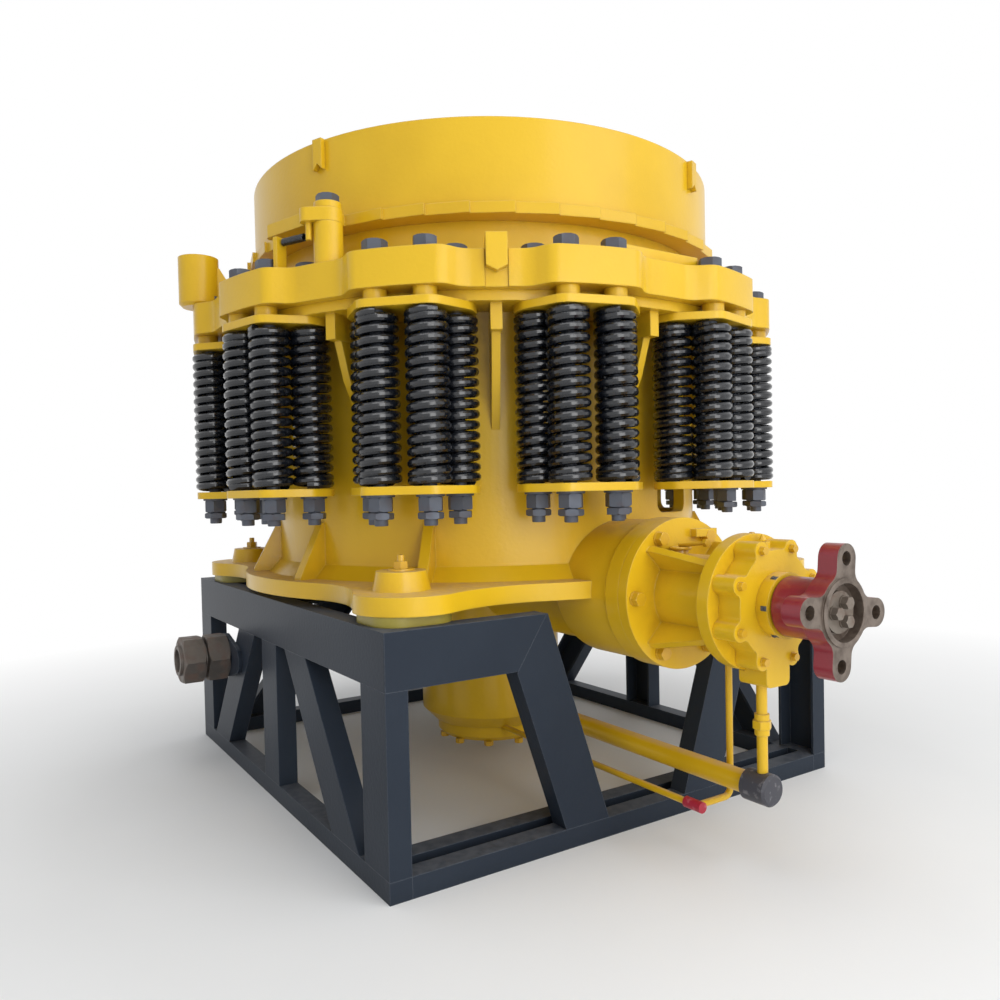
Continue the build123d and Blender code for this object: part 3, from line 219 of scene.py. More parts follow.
@dataclass(frozen=True)
class Enamel(Finish):
    """Alkyd machinery enamel, sprayed on castings and plate.

    It is glossy with a faint orange peel. It gathers tan dust where the steel lies flat, is darker
    in its corners with painted shade and grime, and lighter on its edges with painted highlight and wear.
    """

    TONE: ClassVar[Span] = {"From Min": 0.42, "From Max": 0.75, "To Max": 0.55}
    CORNER: ClassVar[Span] = {"From Min": 0.25, "From Max": 0.8, "To Min": 0.55, "To Max": 0.0}
    LEVEL: ClassVar[Span] = {"From Min": 0.75, "From Max": 0.98}
    SETTLING: ClassVar[Span] = {"From Min": 0.3, "From Max": 0.62, "To Min": 0.35}
    # Painted highlight with wear: how much of the lighter colour the bevelled edges take
    RIM_HIGHLIGHT: ClassVar[Span] = {"From Min": 0.99, "From Max": 0.85, "To Max": 0.6}

    shade: str = "#C08F12"
    dust: str = "#C7A266"
    dust_share: float = 0.85
    dust_roughness: float = 0.8
    # Colour of the corner darkening and its occlusion reach: painted shade with grime
    grime_and_shade: str = "#5E4A22"
    grime_and_shade_reach: float = 0.07
    # Lighter edge colour: painted highlight with wear
    worn_and_highlight: str = "#EBCB62"
    patch_size: float = 0.35
    speck_size: float = 0.022
    peel_size: float = 0.009
    peel_depth: float = 0.0004
    edge: float = 0.004
    coat: float = 0.35
    coat_roughness: float = 0.12
    specular: float = 0.5

    def dress(self, tree: NodeTree, place: NodeSocket, shader: Node) -> None:
        """Lay colour patches, painted corner shade with grime, dust, painted edge highlights with wear, and
        orange peel.

        Args:
            tree: the material's tree.
            place: the object coordinates.
            shader: the surface shader.
        """
        node = partial(add_node, tree)
        patches = node("TexNoise", {"Vector": place, "Scale": 1 / self.patch_size, "Detail": 5.0})
        tone = node("MapRange", {"Value": patches, **self.TONE})
        base = node("Mix", {SHARE: tone, UNDER: linear(self.colour), OVER: linear(self.shade)},
                    data_type="RGBA")
        specks = node("TexNoise", {"Vector": place, "Scale": 1 / self.speck_size, "Detail": 6.0})
        # Painted shade: ambient occlusion darkens the corners, broken up by specks as grime
        corners = node("AmbientOcclusion", {"Distance": self.grime_and_shade_reach}, samples=4)
        hollow = node("MapRange", {"Value": corners.outputs["AO"], **self.CORNER})
        dirt_and_shade = node("Math", {0: hollow, 1: specks}, operation="MULTIPLY")
        soiled_and_shaded = node("Mix", {SHARE: dirt_and_shade, UNDER: base, OVER: linear(self.grime_and_shade)}, data_type="RGBA")
        surface = node("NewGeometry").outputs["Normal"]
        facing = node("SeparateXYZ", {0: surface}).outputs
        level = node("MapRange", {"Value": facing["Z"], **self.LEVEL, "To Max": self.dust_share})
        settled = node("MapRange", {"Value": specks, **self.SETTLING})
        dusting = node("Math", {0: level, 1: settled}, operation="MULTIPLY")
        dusty = node("Mix", {SHARE: dusting, UNDER: soiled_and_shaded, OVER: linear(self.dust)}, data_type="RGBA")
        # Painted highlight: the edges that the bevel finds take a lighter colour, broken up by specks as wear
        rounded = node("Bevel", {"Radius": self.edge}, samples=4)
        along = node("VectorMath", {0: rounded, 1: surface}, operation="DOT_PRODUCT")
        rim = node("MapRange", {"Value": along, **self.RIM_HIGHLIGHT})
        rubbed_and_highlit = node("Math", {0: rim, 1: specks}, operation="MULTIPLY")
        final = node("Mix", {SHARE: rubbed_and_highlit, UNDER: dusty, OVER: linear(self.worn_and_highlight)}, data_type="RGBA")
        dull = node("MapRange", {"Value": dusting, "To Min": self.roughness, "To Max": self.dust_roughness})
        peel = node("TexNoise", {"Vector": place, "Scale": 1 / self.peel_size, "Detail": 2.0})
        relief = node("Bump", {"Height": peel, "Distance": self.peel_depth, "Normal": rounded})
        set_inputs(tree, shader, {"Base Color": final, "Roughness": dull, "Normal": relief,
                                  "Specular IOR Level": self.specular, "Coat Weight": self.coat,
                                  "Coat Roughness": self.coat_roughness})


@dataclass(frozen=True)
class FacedEnamel(Enamel):
    """Enamel on the drive flange, whose turned face and recess were left bare and have browned."""

    FRONT: ClassVar[Span] = {"From Min": 0.75, "From Max": 0.9}
    BROWNING: ClassVar[Span] = {"From Min": 0.42, "From Max": 0.68, "To Max": 0.8}

    bare: str = "#7C7066"
    bare_metallic: float = 0.55
    stain: str = "#4E4238"
    blotch_size: float = 1 / 42
    recess_start: float = 0.980
    recess_floor: float = 1.004
    recess_radius: float = 0.0655
    shaft_level: float = 0.568
    hole_circle: float = 0.1005
    hole_radius: float = 0.0142
    arm_turn: float = math.radians(5)

    def dress(self, tree: NodeTree, place: NodeSocket, shader: Node) -> None:
        """Paint the flange, then bare its face, its recess and its four holes.

        Args:
            tree: the material's tree.
            place: the object coordinates.
            shader: the surface shader.
        """
        super().dress(tree, place, shader)
        node = partial(add_node, tree)
        painted = shader.inputs["Base Color"].links[0].from_socket
        facing = node("SeparateXYZ", {0: node("NewGeometry").outputs["Normal"]}).outputs
        front = node("MapRange", {"Value": facing["X"], **self.FRONT})
        along = node("SeparateXYZ", {0: place}).outputs["X"]
        ahead = node("Math", {0: along, 1: self.recess_start}, operation="GREATER_THAN")
        offset = node("VectorMath", {0: place, 1: (0.0, 0.0, -self.shaft_level)}, operation="ADD")
        flat = node("VectorMath", {0: offset, 1: (0.0, 1.0, 1.0)}, operation="MULTIPLY")
        reach = node("VectorMath", {0: flat}, operation="LENGTH")
        close = node("Math", {0: reach, 1: self.recess_radius}, operation="LESS_THAN")
        sunk = node("Math", {0: along, 1: self.recess_floor}, operation="GREATER_THAN")
        inside = node("Math", {0: close, 1: sunk}, operation="MULTIPLY")
        turned = node("VectorRotate", {"Vector": flat, "Angle": self.arm_turn}, rotation_type="X_AXIS")
        folded = node("VectorMath", {0: turned}, operation="ABSOLUTE")
        either = node("Math", {0: front, 1: inside}, operation="MAXIMUM")
        for hole in ((0.0, self.hole_circle, 0.0), (0.0, 0.0, self.hole_circle)):
            away = node("VectorMath", {0: folded, 1: hole}, operation="DISTANCE")
            bored = node("Math", {0: away, 1: self.hole_radius}, operation="LESS_THAN")
            either = node("Math", {0: either, 1: bored}, operation="MAXIMUM")
        mask = node("Math", {0: either, 1: ahead}, operation="MULTIPLY")
        blotches = node("TexNoise", {"Vector": place, "Scale": 1 / self.blotch_size, "Detail": 7.0})
        spread = node("MapRange", {"Value": blotches, **self.BROWNING})
        metal = node("Mix", {SHARE: spread, UNDER: linear(self.bare), OVER: linear(self.stain)},
                     data_type="RGBA")
        final = node("Mix", {SHARE: mask, UNDER: painted, OVER: metal}, data_type="RGBA")
        coat = node("MapRange", {"Value": mask, "To Min": self.coat, "To Max": 0.0})
        shine = node("MapRange", {"Value": mask, "To Max": self.bare_metallic})
        set_inputs(tree, shader, {"Base Color": final, "Coat Weight": coat, "Metallic": shine})


@dataclass(frozen=True)
class Lacquer(Finish):
    """Black stoving lacquer on hot-coiled spring steel: deep gloss, with a pale tint on the coils' tops that
    is dust, and on the springs a blue-grey painted reflection.
    """

    # Painted reflection with dust: upward faces take a pale tint
    TOP_DUST_AND_REFLECTION: ClassVar[Span] = {"From Min": 0.5, "From Max": 1.0, "To Max": 0.16}
    GLOSS: ClassVar[Span] = {"From Min": 0.35, "From Max": 0.7}

    dust: str = "#8B8478"
    speck_size: float = 0.012
    gloss_spread: float = 0.22
    coat: float = 0.45
    coat_roughness: float = 0.06

    def dress(self, tree: NodeTree, place: NodeSocket, shader: Node) -> None:
        """Lay a thin pale tint, dust and painted reflection, on what faces up, and vary the gloss.

        Args:
            tree: the material's tree.
            place: the object coordinates.
            shader: the surface shader.
        """
        node = partial(add_node, tree)
        specks = node("TexNoise", {"Vector": place, "Scale": 1 / self.speck_size, "Detail": 5.0})
        facing = node("SeparateXYZ", {0: node("NewGeometry").outputs["Normal"]}).outputs
        # Painted reflection with dust: the pale tint on upward faces, broken up by specks
        level = node("MapRange", {"Value": facing["Z"], **self.TOP_DUST_AND_REFLECTION})
        dusting = node("Math", {0: level, 1: specks}, operation="MULTIPLY")
        colour = node("Mix", {SHARE: dusting, UNDER: linear(self.colour), OVER: linear(self.dust)},
                      data_type="RGBA")
        gloss = node("MapRange", {"Value": specks, **self.GLOSS, "To Min": self.roughness,
                                  "To Max": self.roughness + self.gloss_spread})
        set_inputs(tree, shader, {"Base Color": colour, "Roughness": gloss, "Coat Weight": self.coat,
                                  "Coat Roughness": self.coat_roughness})


@dataclass(frozen=True)
class Steel(Finish):
    """Bare or blackened steel with rust blooms and fine turning marks."""

    BLOOM: ClassVar[Span] = {"From Min": 0.48, "From Max": 0.66}
    DULLING: ClassVar[Span] = {"From Min": 0.35, "From Max": 0.7}

    metallic: float = 1.0
    dull_spread: float = 0.3
    rust: str = "#6B4228"
    rust_share: float = 0.35
    bloom_size: float = 0.035
    mark_size: float = 0.0025
    mark_depth: float = 0.0001

    def dress(self, tree: NodeTree, place: NodeSocket, shader: Node) -> None:
        """Lay rust blooms over the metal, which dull it, and fine marks.

        Args:
            tree: the material's tree.
            place: the object coordinates.
            shader: the surface shader.
        """
        node = partial(add_node, tree)
        blooms = node("TexNoise", {"Vector": place, "Scale": 1 / self.bloom_size, "Detail": 6.0})
        mask = node("MapRange", {"Value": blooms, **self.BLOOM, "To Max": self.rust_share})
        colour = node("Mix", {SHARE: mask, UNDER: linear(self.colour), OVER: linear(self.rust)},
                      data_type="RGBA")
        metal = node("MapRange", {"Value": mask, "To Min": self.metallic, "To Max": 0.0})
        dull = node("MapRange", {"Value": blooms, **self.DULLING, "To Min": self.roughness,
                                 "To Max": self.roughness + self.dull_spread})
        marks = node("TexNoise", {"Vector": place, "Scale": 1 / self.mark_size, "Detail": 2.0})
        relief = node("Bump", {"Height": marks, "Distance": self.mark_depth})
        set_inputs(tree, shader, {"Base Color": colour, "Metallic": metal, "Roughness": dull,
                                  "Normal": relief})


@dataclass(frozen=True)
class Plastic(Finish):
    """Injection-moulded cap plastic: even colour, fine leathery grain, scuffs."""

    SCUFFING: ClassVar[Span] = {"From Min": 0.56, "From Max": 0.7, "To Max": 0.35}

    scuff: str = "#A9A6A8"
    scuff_size: float = 1 / 70
    grain_size: float = 0.003
    grain_depth: float = 0.0002

    def dress(self, tree: NodeTree, place: NodeSocket, shader: Node) -> None:
        """Lay a fine grain and pale scuffs.

        Args:
            tree: the material's tree.
            place: the object coordinates.
            shader: the surface shader.
        """
        node = partial(add_node, tree)
        grain = node("TexNoise", {"Vector": place, "Scale": 1 / self.grain_size, "Detail": 3.0})
        scuffs = node("TexNoise", {"Vector": place, "Scale": 1 / self.scuff_size, "Detail": 5.0})
        mask = node("MapRange", {"Value": scuffs, **self.SCUFFING})
        colour = node("Mix", {SHARE: mask, UNDER: linear(self.colour), OVER: linear(self.scuff)},
                      data_type="RGBA")
        relief = node("Bump", {"Height": grain, "Distance": self.grain_depth})
        set_inputs(tree, shader, {"Base Color": colour, "Normal": relief})


# Machinery enamel over cast iron and plate: warm chrome yellow, glossy, dusty where it lies flat
YELLOW = Enamel("machinery_enamel_yellow", Slot.YELLOW, "#E1B61F", 0.3, shade="#C4980F", dust="#CFAD78",
                worn_and_highlight="#EFD26A", coat=0.12, specular=0.35)
# The same enamel over the packing plates, thinner and greener over bare steel
SHIM = Enamel("machinery_enamel_shim", Slot.YELLOW, "#A89A3C", 0.45, shade="#7F7A3E", coat=0.1)
# Yellow enamel on forged nuts and bolt heads, with little dust and a small lighter edge of painted highlight
# and wear
YELLOW_BOLT = Enamel("machinery_enamel_fasteners", Slot.YELLOW, "#D9A91C", 0.35, shade="#A98416",
                     dust_share=0.2, edge=0.0012)
# Dark blue-grey alkyd on rolled channel: satin, lighter on its edges with painted highlight and scuffs, near
# black in its corners with painted shade and grime
STAND = Enamel("alkyd_blue_grey", Slot.STAND, "#2E353F", 0.36, shade="#222832", dust="#6B6E74",
               dust_share=0.55, grime_and_shade="#101113", worn_and_highlight="#7E848E", edge=0.003, coat=0.0, specular=0.1)
# Red oxide gloss on the drive flange: dark wine red, lighter at its edges with painted highlight and rubbing
RED = FacedEnamel("red_gloss_paint", Slot.RED, "#8E1F2D", 0.3, shade="#711724", dust="#7A5A50",
                  dust_share=0.4, grime_and_shade="#2C1210", worn_and_highlight="#A9615C", edge=0.002)
# Stoved lacquer on the coil springs: near black, with sharp highlights on every turn, and a blue-grey tint on
# the turns' tops that is dust and painted reflection
SPRING = Lacquer("spring_lacquer_black", Slot.SPRING, "#0F1218", 0.14, dust="#7C828C")
# Blackened bolt steel: dark grey, half dull
BOLT = Steel("black_oxide_steel", Slot.GREY, "#555A64", 0.4, metallic=0.35, rust_share=0.12)
# Turned steel of the shaft and its end plate: grey, with a brown bloom
TURNED = Steel("turned_steel", Slot.MACHINED, "#857C72", 0.42, metallic=0.7, rust="#5A4232", rust_share=0.65)
# Cast manganese steel of the wear parts: dull and rusty
WEAR = Steel("cast_manganese_steel", Slot.WEAR, "#5C5854", 0.55, rust_share=0.75, mark_size=0.008,
             mark_depth=0.0012)
# Rolled grey steel of the side stub: mill scale with brown rust
SCALE = Steel("mill_scale_steel", Slot.GREY, "#77716C", 0.5, rust_share=0.4)
# Dark grey polyethylene cap: even and half dull
CAP_PLASTIC = Plastic("moulded_polyethylene_grey", Slot.DARK_PLASTIC, "#3D3D44", 0.5)
# Red polyethylene cap: the same, a little glossier
RED_CAP = Plastic("moulded_polyethylene_red", Slot.RED_PLASTIC, "#A62236", 0.4, scuff="#D68A94")


class Mesh:
    """Small shapes made in a bmesh, each in its own place."""

    @staticmethod
    def add(bm: BMesh, part: BMesh, places: Iterable[Matrix]) -> None:
        """Put copies of one shape into a mesh, and free the shape.

        Args:
            bm: the mesh the copies go into.
            part: the shape.
            places: where each copy goes.
        """
        store = bpy.data.meshes.new("shape")
        part.to_mesh(store)
        part.free()
        for place in places:
            moved = store.copy()
            moved.transform(place)
            bm.from_mesh(moved)
            bpy.data.meshes.remove(moved)
        bpy.data.meshes.remove(store)

    @staticmethod
    def copies(part: BMesh, places: Iterable[Matrix]) -> BMesh:
        """Make a mesh of copies of one shape, and free the shape."""
        bm = bmesh.new()
        Mesh.add(bm, part, places)
        return bm

    @staticmethod
    def rod(bm: BMesh, radius: float, length: float, place: Matrix = HERE, sides: int = 24,
            edge: float = 0.0, tip: float | None = None) -> None:
        """Add a capped rod that stands on its place, with a bevelled far edge.

        Args:
            bm: the mesh it goes into.
            radius: its radius at its foot.
            length: its length along its own Z.
            place: where its foot's middle is.
            sides: how many flats go round it.
            edge: the bevel of its far edge.
            tip: its radius at the far end, if it tapers.
        """
        part = bmesh.new()
        far = radius if tip is None else tip
        bmesh.ops.create_cone(part, cap_ends=True, segments=sides, radius1=radius, radius2=far, depth=length,
                              matrix=raised(length / 2))
        if edge:
            rim = [e for e in part.edges if all(end.co.z > length - FINE_EDGE / 2 for end in e.verts)]
            bmesh.ops.bevel(part, geom=rim, offset=edge, segments=2, profile=0.5, affect="EDGES", material=-1)
        Mesh.add(bm, part, [place])

    @staticmethod
    def hexagon(bm: BMesh, across: float, height: float, place: Matrix = HERE,
                both: bool = False) -> None:
        """Add a hexagon with its corners cut to a chamfer, as on a forged head or nut.

        Args:
            bm: the mesh it goes into.
            across: its width over two flats.
            height: its height along its own Z.
            place: where its foot's middle is.
            both: whether the lower face is chamfered too.
        """
        part = bmesh.new()
        corner = across / 2 * HEX_CORNER
        bmesh.ops.create_cone(part, cap_ends=True, segments=6, radius1=corner, radius2=corner, depth=height,
                              matrix=raised(height / 2))
        ends = ((height, 1), (0.0, -1)) if both else ((height, 1),)
        for level, way in ends:
            for index in range(CHAMFER_CUTS):
                turn = Matrix.Rotation(index * FULL_TURN / CHAMFER_CUTS, 3, "Z")
                start = turn @ Vector((across / 2 * CHAMFER_START, 0, 0)) + Vector((0, 0, level))
                slope = turn @ Vector((math.sin(CHAMFER), 0, 0)) + Vector((0, 0, way * math.cos(CHAMFER)))
                cut = bmesh.ops.bisect_plane(part, geom=part.verts[:] + part.edges[:] + part.faces[:],
                                             plane_co=start, plane_no=slope, clear_outer=True)["geom_cut"]
                bmesh.ops.edgeloop_fill(part, edges=[g for g in cut if isinstance(g, BMEdge)])
        bmesh.ops.recalc_face_normals(part, faces=part.faces[:])
        Mesh.add(bm, part, [place])

    @staticmethod
    def box(bm: BMesh, size: tuple[float, float, float], place: Matrix, edge: float) -> None:
        """Add a box that stands on its place, with its edges taken off.

        Args:
            bm: the mesh it goes into.
            size: its length, width and height.
            place: where its foot's middle is.
            edge: the bevel of its edges.
        """
        part = bmesh.new()
        scale = Matrix.Diagonal((*size, 1))
        bmesh.ops.create_cube(part, size=1.0, matrix=raised(size[2] / 2) @ scale)
        bmesh.ops.bevel(part, geom=part.edges[:], offset=edge, segments=2, profile=0.5, affect="EDGES",
                        material=-1)
        Mesh.add(bm, part, [place])

    @staticmethod
    def wind(radius: float, wire: float, sides: int, leads: Sequence[tuple[float, float, int]],
             foot: float = 0.0, ring: bool = False) -> BMesh:
        """Wind a round wire about Z, starting on X.

        Args:
            radius: the radius of the wire's middle line.
            wire: the wire's diameter.
            sides: how many flats go round the wire.
            leads: the angle, the rise and the number of steps of each stretch.
            foot: the level where the wire's middle line starts.
            ring: whether its ends meet, so that it needs no caps.

        Returns:
            The wound wire.
        """
        part = bmesh.new()
        section = Matrix.Translation((radius, 0, foot)) @ Matrix.Rotation(QUARTER_TURN, 4, "X")
        bmesh.ops.create_circle(part, cap_ends=not ring, radius=wire / 2, segments=sides, matrix=section)
        geometry: list = part.verts[:] + part.edges[:] + part.faces[:]
        for angle, rise, steps in leads:
            geometry = bmesh.ops.spin(part, geom=geometry, cent=(0, 0, 0), axis=(0, 0, 1), angle=angle,
                                      dvec=(0, 0, rise / steps), steps=steps, use_merge=ring,
                                      use_duplicate=False)["geom_last"]
        bmesh.ops.recalc_face_normals(part, faces=part.faces[:])
        return part


@dataclass(frozen=True)
class Stretch:
    """The ends of a springy piece between two bodies: from start on its own to end on the other."""

    body: Body
    start: Vector
    end: Vector


@dataclass
class Workshop:
    """Holds the materials, and turns meshes into finished pieces of the machine."""

    materials: dict[str, Material] = field(default_factory=dict)

    def material(self, finish: Finish) -> Material:
        """The node material of a finish, made once."""
        if finish.name not in self.materials:
            self.materials[finish.name] = finish.material()
        return self.materials[finish.name]

    def piece(self, name: str, bm: BMesh, finish: Finish, body: Body = Body.FRAME,
              stands_for: Sequence[str] = (), stretch: Stretch | None = None) -> None:
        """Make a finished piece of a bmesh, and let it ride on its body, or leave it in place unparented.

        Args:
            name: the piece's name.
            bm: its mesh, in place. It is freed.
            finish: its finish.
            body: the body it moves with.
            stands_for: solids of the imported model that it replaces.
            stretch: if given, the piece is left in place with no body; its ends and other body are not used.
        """
        mesh = bpy.data.meshes.new(name)
        bm.to_mesh(mesh)
        bm.free()
        if "custom_normal" in mesh.attributes:
            mesh.attributes.remove(mesh.attributes["custom_normal"])
        mesh.shade_smooth()
        mesh.set_sharp_from_angle(angle=SMOOTH_ANGLE)
        mesh.materials.append(self.material(finish))
        made = bpy.data.objects.new(name, mesh)
        bpy.context.scene.collection.objects.link(made)
        if stretch:
            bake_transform(made)
        else:
            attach(made, body.value)
        if stands_for:
            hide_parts(*stands_for)
        mesh.calc_loop_triangles()
        LOG.info("%s: %d triangles on %s", name, len(mesh.loop_triangles), body.value)

    def skin(self, node: str, finish: Finish, body: Body) -> None:
        """Make a smooth-shaded copy of a solid, with its doubles merged, to show in its place.

        Args:
            node: the solid's name.
            finish: its finish.
            body: the body it moves with.
        """
        bm = bmesh.new()
        bm.from_mesh(frame["nodes"][node].data)
        bmesh.ops.remove_doubles(bm, verts=bm.verts[:], dist=MERGE_DISTANCE)
        bmesh.ops.dissolve_limit(bm, angle_limit=FLAT_ANGLE, verts=bm.verts[:], edges=bm.edges[:])
        self.piece(node + "_skin", bm, finish, body, [node])


@dataclass
class Machine:
    """Places that the sub-assemblies share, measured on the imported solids."""

    axis: Vector = field(default_factory=Vector)
    shaft: Vector = field(default_factory=Vector)
    ring_low: float = 0.0
    ring_top: float = 0.0
    plate_low: float = 0.0
    spring_low: float = 0.0
    spring_top: float = 0.0
    sets: int = 12
    first_set: float = math.radians(15)

    def measure(self) -> None:
        """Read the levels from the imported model."""
        low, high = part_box("adjustment_ring")
        self.axis = Vector(((low.x + high.x) / 2, (low.y + high.y) / 2, 0))
        self.ring_low, self.ring_top = low.z, high.z
        low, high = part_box("coupling")
        self.shaft = Vector((0, (low.y + high.y) / 2, (low.z + high.z) / 2))
        low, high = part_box("springs_1")
        self.spring_low, self.spring_top = low.z, high.z
        self.plate_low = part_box("lower_spring_plates")[0].z

    def upright(self, radius: float, angle: float, level: float) -> Matrix:
        """A place at a radius and an angle about the crusher's axis, turned to face outwards."""
        turn = Matrix.Rotation(angle, 4, "Z")
        return Matrix.Translation(self.axis) @ turn @ Matrix.Translation((radius, 0, level))

    def across(self, station: float, radius: float, angle: float) -> Matrix:
        """A place on a bolt circle round the drive shaft, its own Z along the shaft.

        Args:
            station: the place along X.
            radius: the bolt circle's radius.
            angle: the angle from +Y towards +Z.

        Returns:
            The place.
        """
        y, z = self.shaft.y + radius * math.cos(angle), self.shaft.z + radius * math.sin(angle)
        return Matrix.Translation((station, y, z)) @ Matrix.Rotation(QUARTER_TURN, 4, "Y")

    def set_angles(self) -> list[float]:
        """The angles of the spring sets about the crusher's axis."""
        return [self.first_set + index * FULL_TURN / self.sets for index in range(self.sets)]


@dataclass
class SpringSets:
    """Twelve sets of four coil springs, with their long bolts."""

    machine: Machine
    shop: Workshop
    outer_radius: float = 0.791
    outer_side: float = 0.056
    inner_radius: float = 0.710
    inner_side: float = 0.100
    coil_radius: float = 0.0385
    wire: float = 0.020
    wire_sides: int = 10
    turns: float = 16.5
    turn_steps: int = 24
    closed_rise: float = 0.010
    bolt_radius: float = 0.015
    nut_across: float = 0.049
    nut_height: float = 0.031
    lock_height: float = 0.015
    lock_gap: float = 0.002
    lock_turn: float = math.radians(17)
    stud_reach: float = 0.014
    washer_radius: float = 0.031
    washer_height: float = 0.005
    head_height: float = 0.023
    pieces: int = 3
    bare_set: int = 0
    coil_seed: int = 7
    nut_seed: int = 3
    head_seed: int = 5

    def spots(self, angle: float) -> list[tuple[float, float]]:
        """The radius and angle of one set's four springs."""
        rows = ((self.outer_radius, self.outer_side), (self.inner_radius, self.inner_side))
        return [(math.hypot(radius, side), angle + math.atan2(way * side, radius))
                for radius, side in rows for way in (-1, 1)]

    def places(self, level: float, seed: random.Random | None = None, sets: Iterable[int] | None = None
               ) -> list[Matrix]:
        """Places on the springs' middle lines.

        Args:
            level: their height.
            seed: what turns each place by chance, if anything does.
            sets: the sets they belong to, or all of them.

        Returns:
            Four places for each set.
        """
        angles = self.machine.set_angles()
        made = []
        for index in range(self.machine.sets) if sets is None else sets:
            for radius, turn in self.spots(angles[index]):
                spin = Matrix.Rotation(seed.uniform(0, FULL_TURN), 4, "Z") if seed else HERE
                made.append(self.machine.upright(radius, turn, level) @ spin)
        return made

    def coils(self, group: int) -> BMesh:
        """Wind the springs of one group of sets, each with a closed turn at both ends.

        Args:
            group: the group's number, from zero.

        Returns:
            All of its springs in one mesh.
        """
        rise = self.machine.spring_top - self.machine.spring_low - self.wire
        open_turns = self.turns - 2
        end = (FULL_TURN, self.closed_rise, self.turn_steps)
        steps = round(open_turns * self.turn_steps)
        middle = (open_turns * FULL_TURN, rise - 2 * self.closed_rise, steps)
        part = Mesh.wind(self.coil_radius, self.wire, self.wire_sides, [end, middle, end], self.wire / 2)
        count = self.machine.sets // self.pieces
        seed = random.Random(group + self.coil_seed)
        sets = range(group * count, (group + 1) * count)
        return Mesh.copies(part, self.places(self.machine.spring_low, seed, sets))

    def nuts(self) -> BMesh:
        """Washers, nuts, lock nuts and stud ends under the lower plates, apart from the bare set's."""
        part = bmesh.new()
        Mesh.rod(part, self.washer_radius, self.washer_height, DOWN, edge=FINE_EDGE)
        level = -self.washer_height
        Mesh.hexagon(part, self.nut_across, self.nut_height, raised(level) @ DOWN, True)
        level -= self.nut_height + self.lock_gap
        turned = DOWN @ Matrix.Rotation(self.lock_turn, 4, "Z")
        Mesh.hexagon(part, self.nut_across, self.lock_height, raised(level) @ turned, True)
        reach = -level + self.lock_height + self.stud_reach
        Mesh.rod(part, self.bolt_radius, reach, DOWN, sides=18, edge=STUD_EDGE)
        places = self.places(self.machine.plate_low, random.Random(self.nut_seed))
        count = len(places) // self.machine.sets
        first = self.bare_set * count
        return Mesh.copies(part, places[:first] + places[first + count:])

    def heads(self) -> BMesh:
        """Washers and hexagon heads of the spring bolts on the adjustment ring."""
        part = bmesh.new()
        Mesh.rod(part, self.washer_radius, self.washer_height, edge=FINE_EDGE)
        Mesh.hexagon(part, self.nut_across, self.head_height, raised(self.washer_height))
        return Mesh.copies(part, self.places(self.machine.ring_top, random.Random(self.head_seed)))

    def bolts(self) -> BMesh:
        """The long bolts inside the springs, from the lower plates to the ring."""
        part = bmesh.new()
        Mesh.rod(part, self.bolt_radius, self.machine.ring_low - self.machine.plate_low, sides=16)
        return Mesh.copies(part, self.places(self.machine.plate_low))

    def build(self) -> None:
        """Make the springs and their bolts."""
        for group in range(self.pieces):
            number = group + 1
            self.shop.piece("coil_springs_%d" % number, self.coils(group), SPRING,
                            stands_for=["springs_%d" % number])
        self.shop.piece("spring_nuts", self.nuts(), BOLT)
        self.shop.piece("spring_bolt_heads", self.heads(), BOLT)
        self.shop.piece("spring_bolts", self.bolts(), BOLT)


@dataclass
class Foundation:
    """Washers, nuts and studs on the frame's four anchor bosses."""

    machine: Machine
    shop: Workshop
    anchor_x: float = 0.545
    anchor_y: float = 0.567
    boss_top: float = 0.640
    washer_radius: float = 0.029
    washer_height: float = 0.004
    nut_across: float = 0.029
    nut_height: float = 0.016
    stud_radius: float = 0.008
    stud_reach: float = 0.014

    def build(self) -> None:
        """Make the four sets of anchor hardware."""
        part = bmesh.new()
        Mesh.rod(part, self.washer_radius, self.washer_height, edge=FINE_EDGE)
        seat = raised(self.washer_height)
        Mesh.hexagon(part, self.nut_across, self.nut_height, seat, True)
        stud = self.washer_height + self.nut_height + self.stud_reach
        Mesh.rod(part, self.stud_radius, stud, sides=16, edge=STUD_EDGE)
        places = [Matrix.Translation(self.machine.axis + Vector((x * self.anchor_x, y * self.anchor_y,
                                                                 self.boss_top)))
                  for x in (-1, 1) for y in (-1, 1)]
        self.shop.piece("anchor_nuts", Mesh.copies(part, places), YELLOW_BOLT)


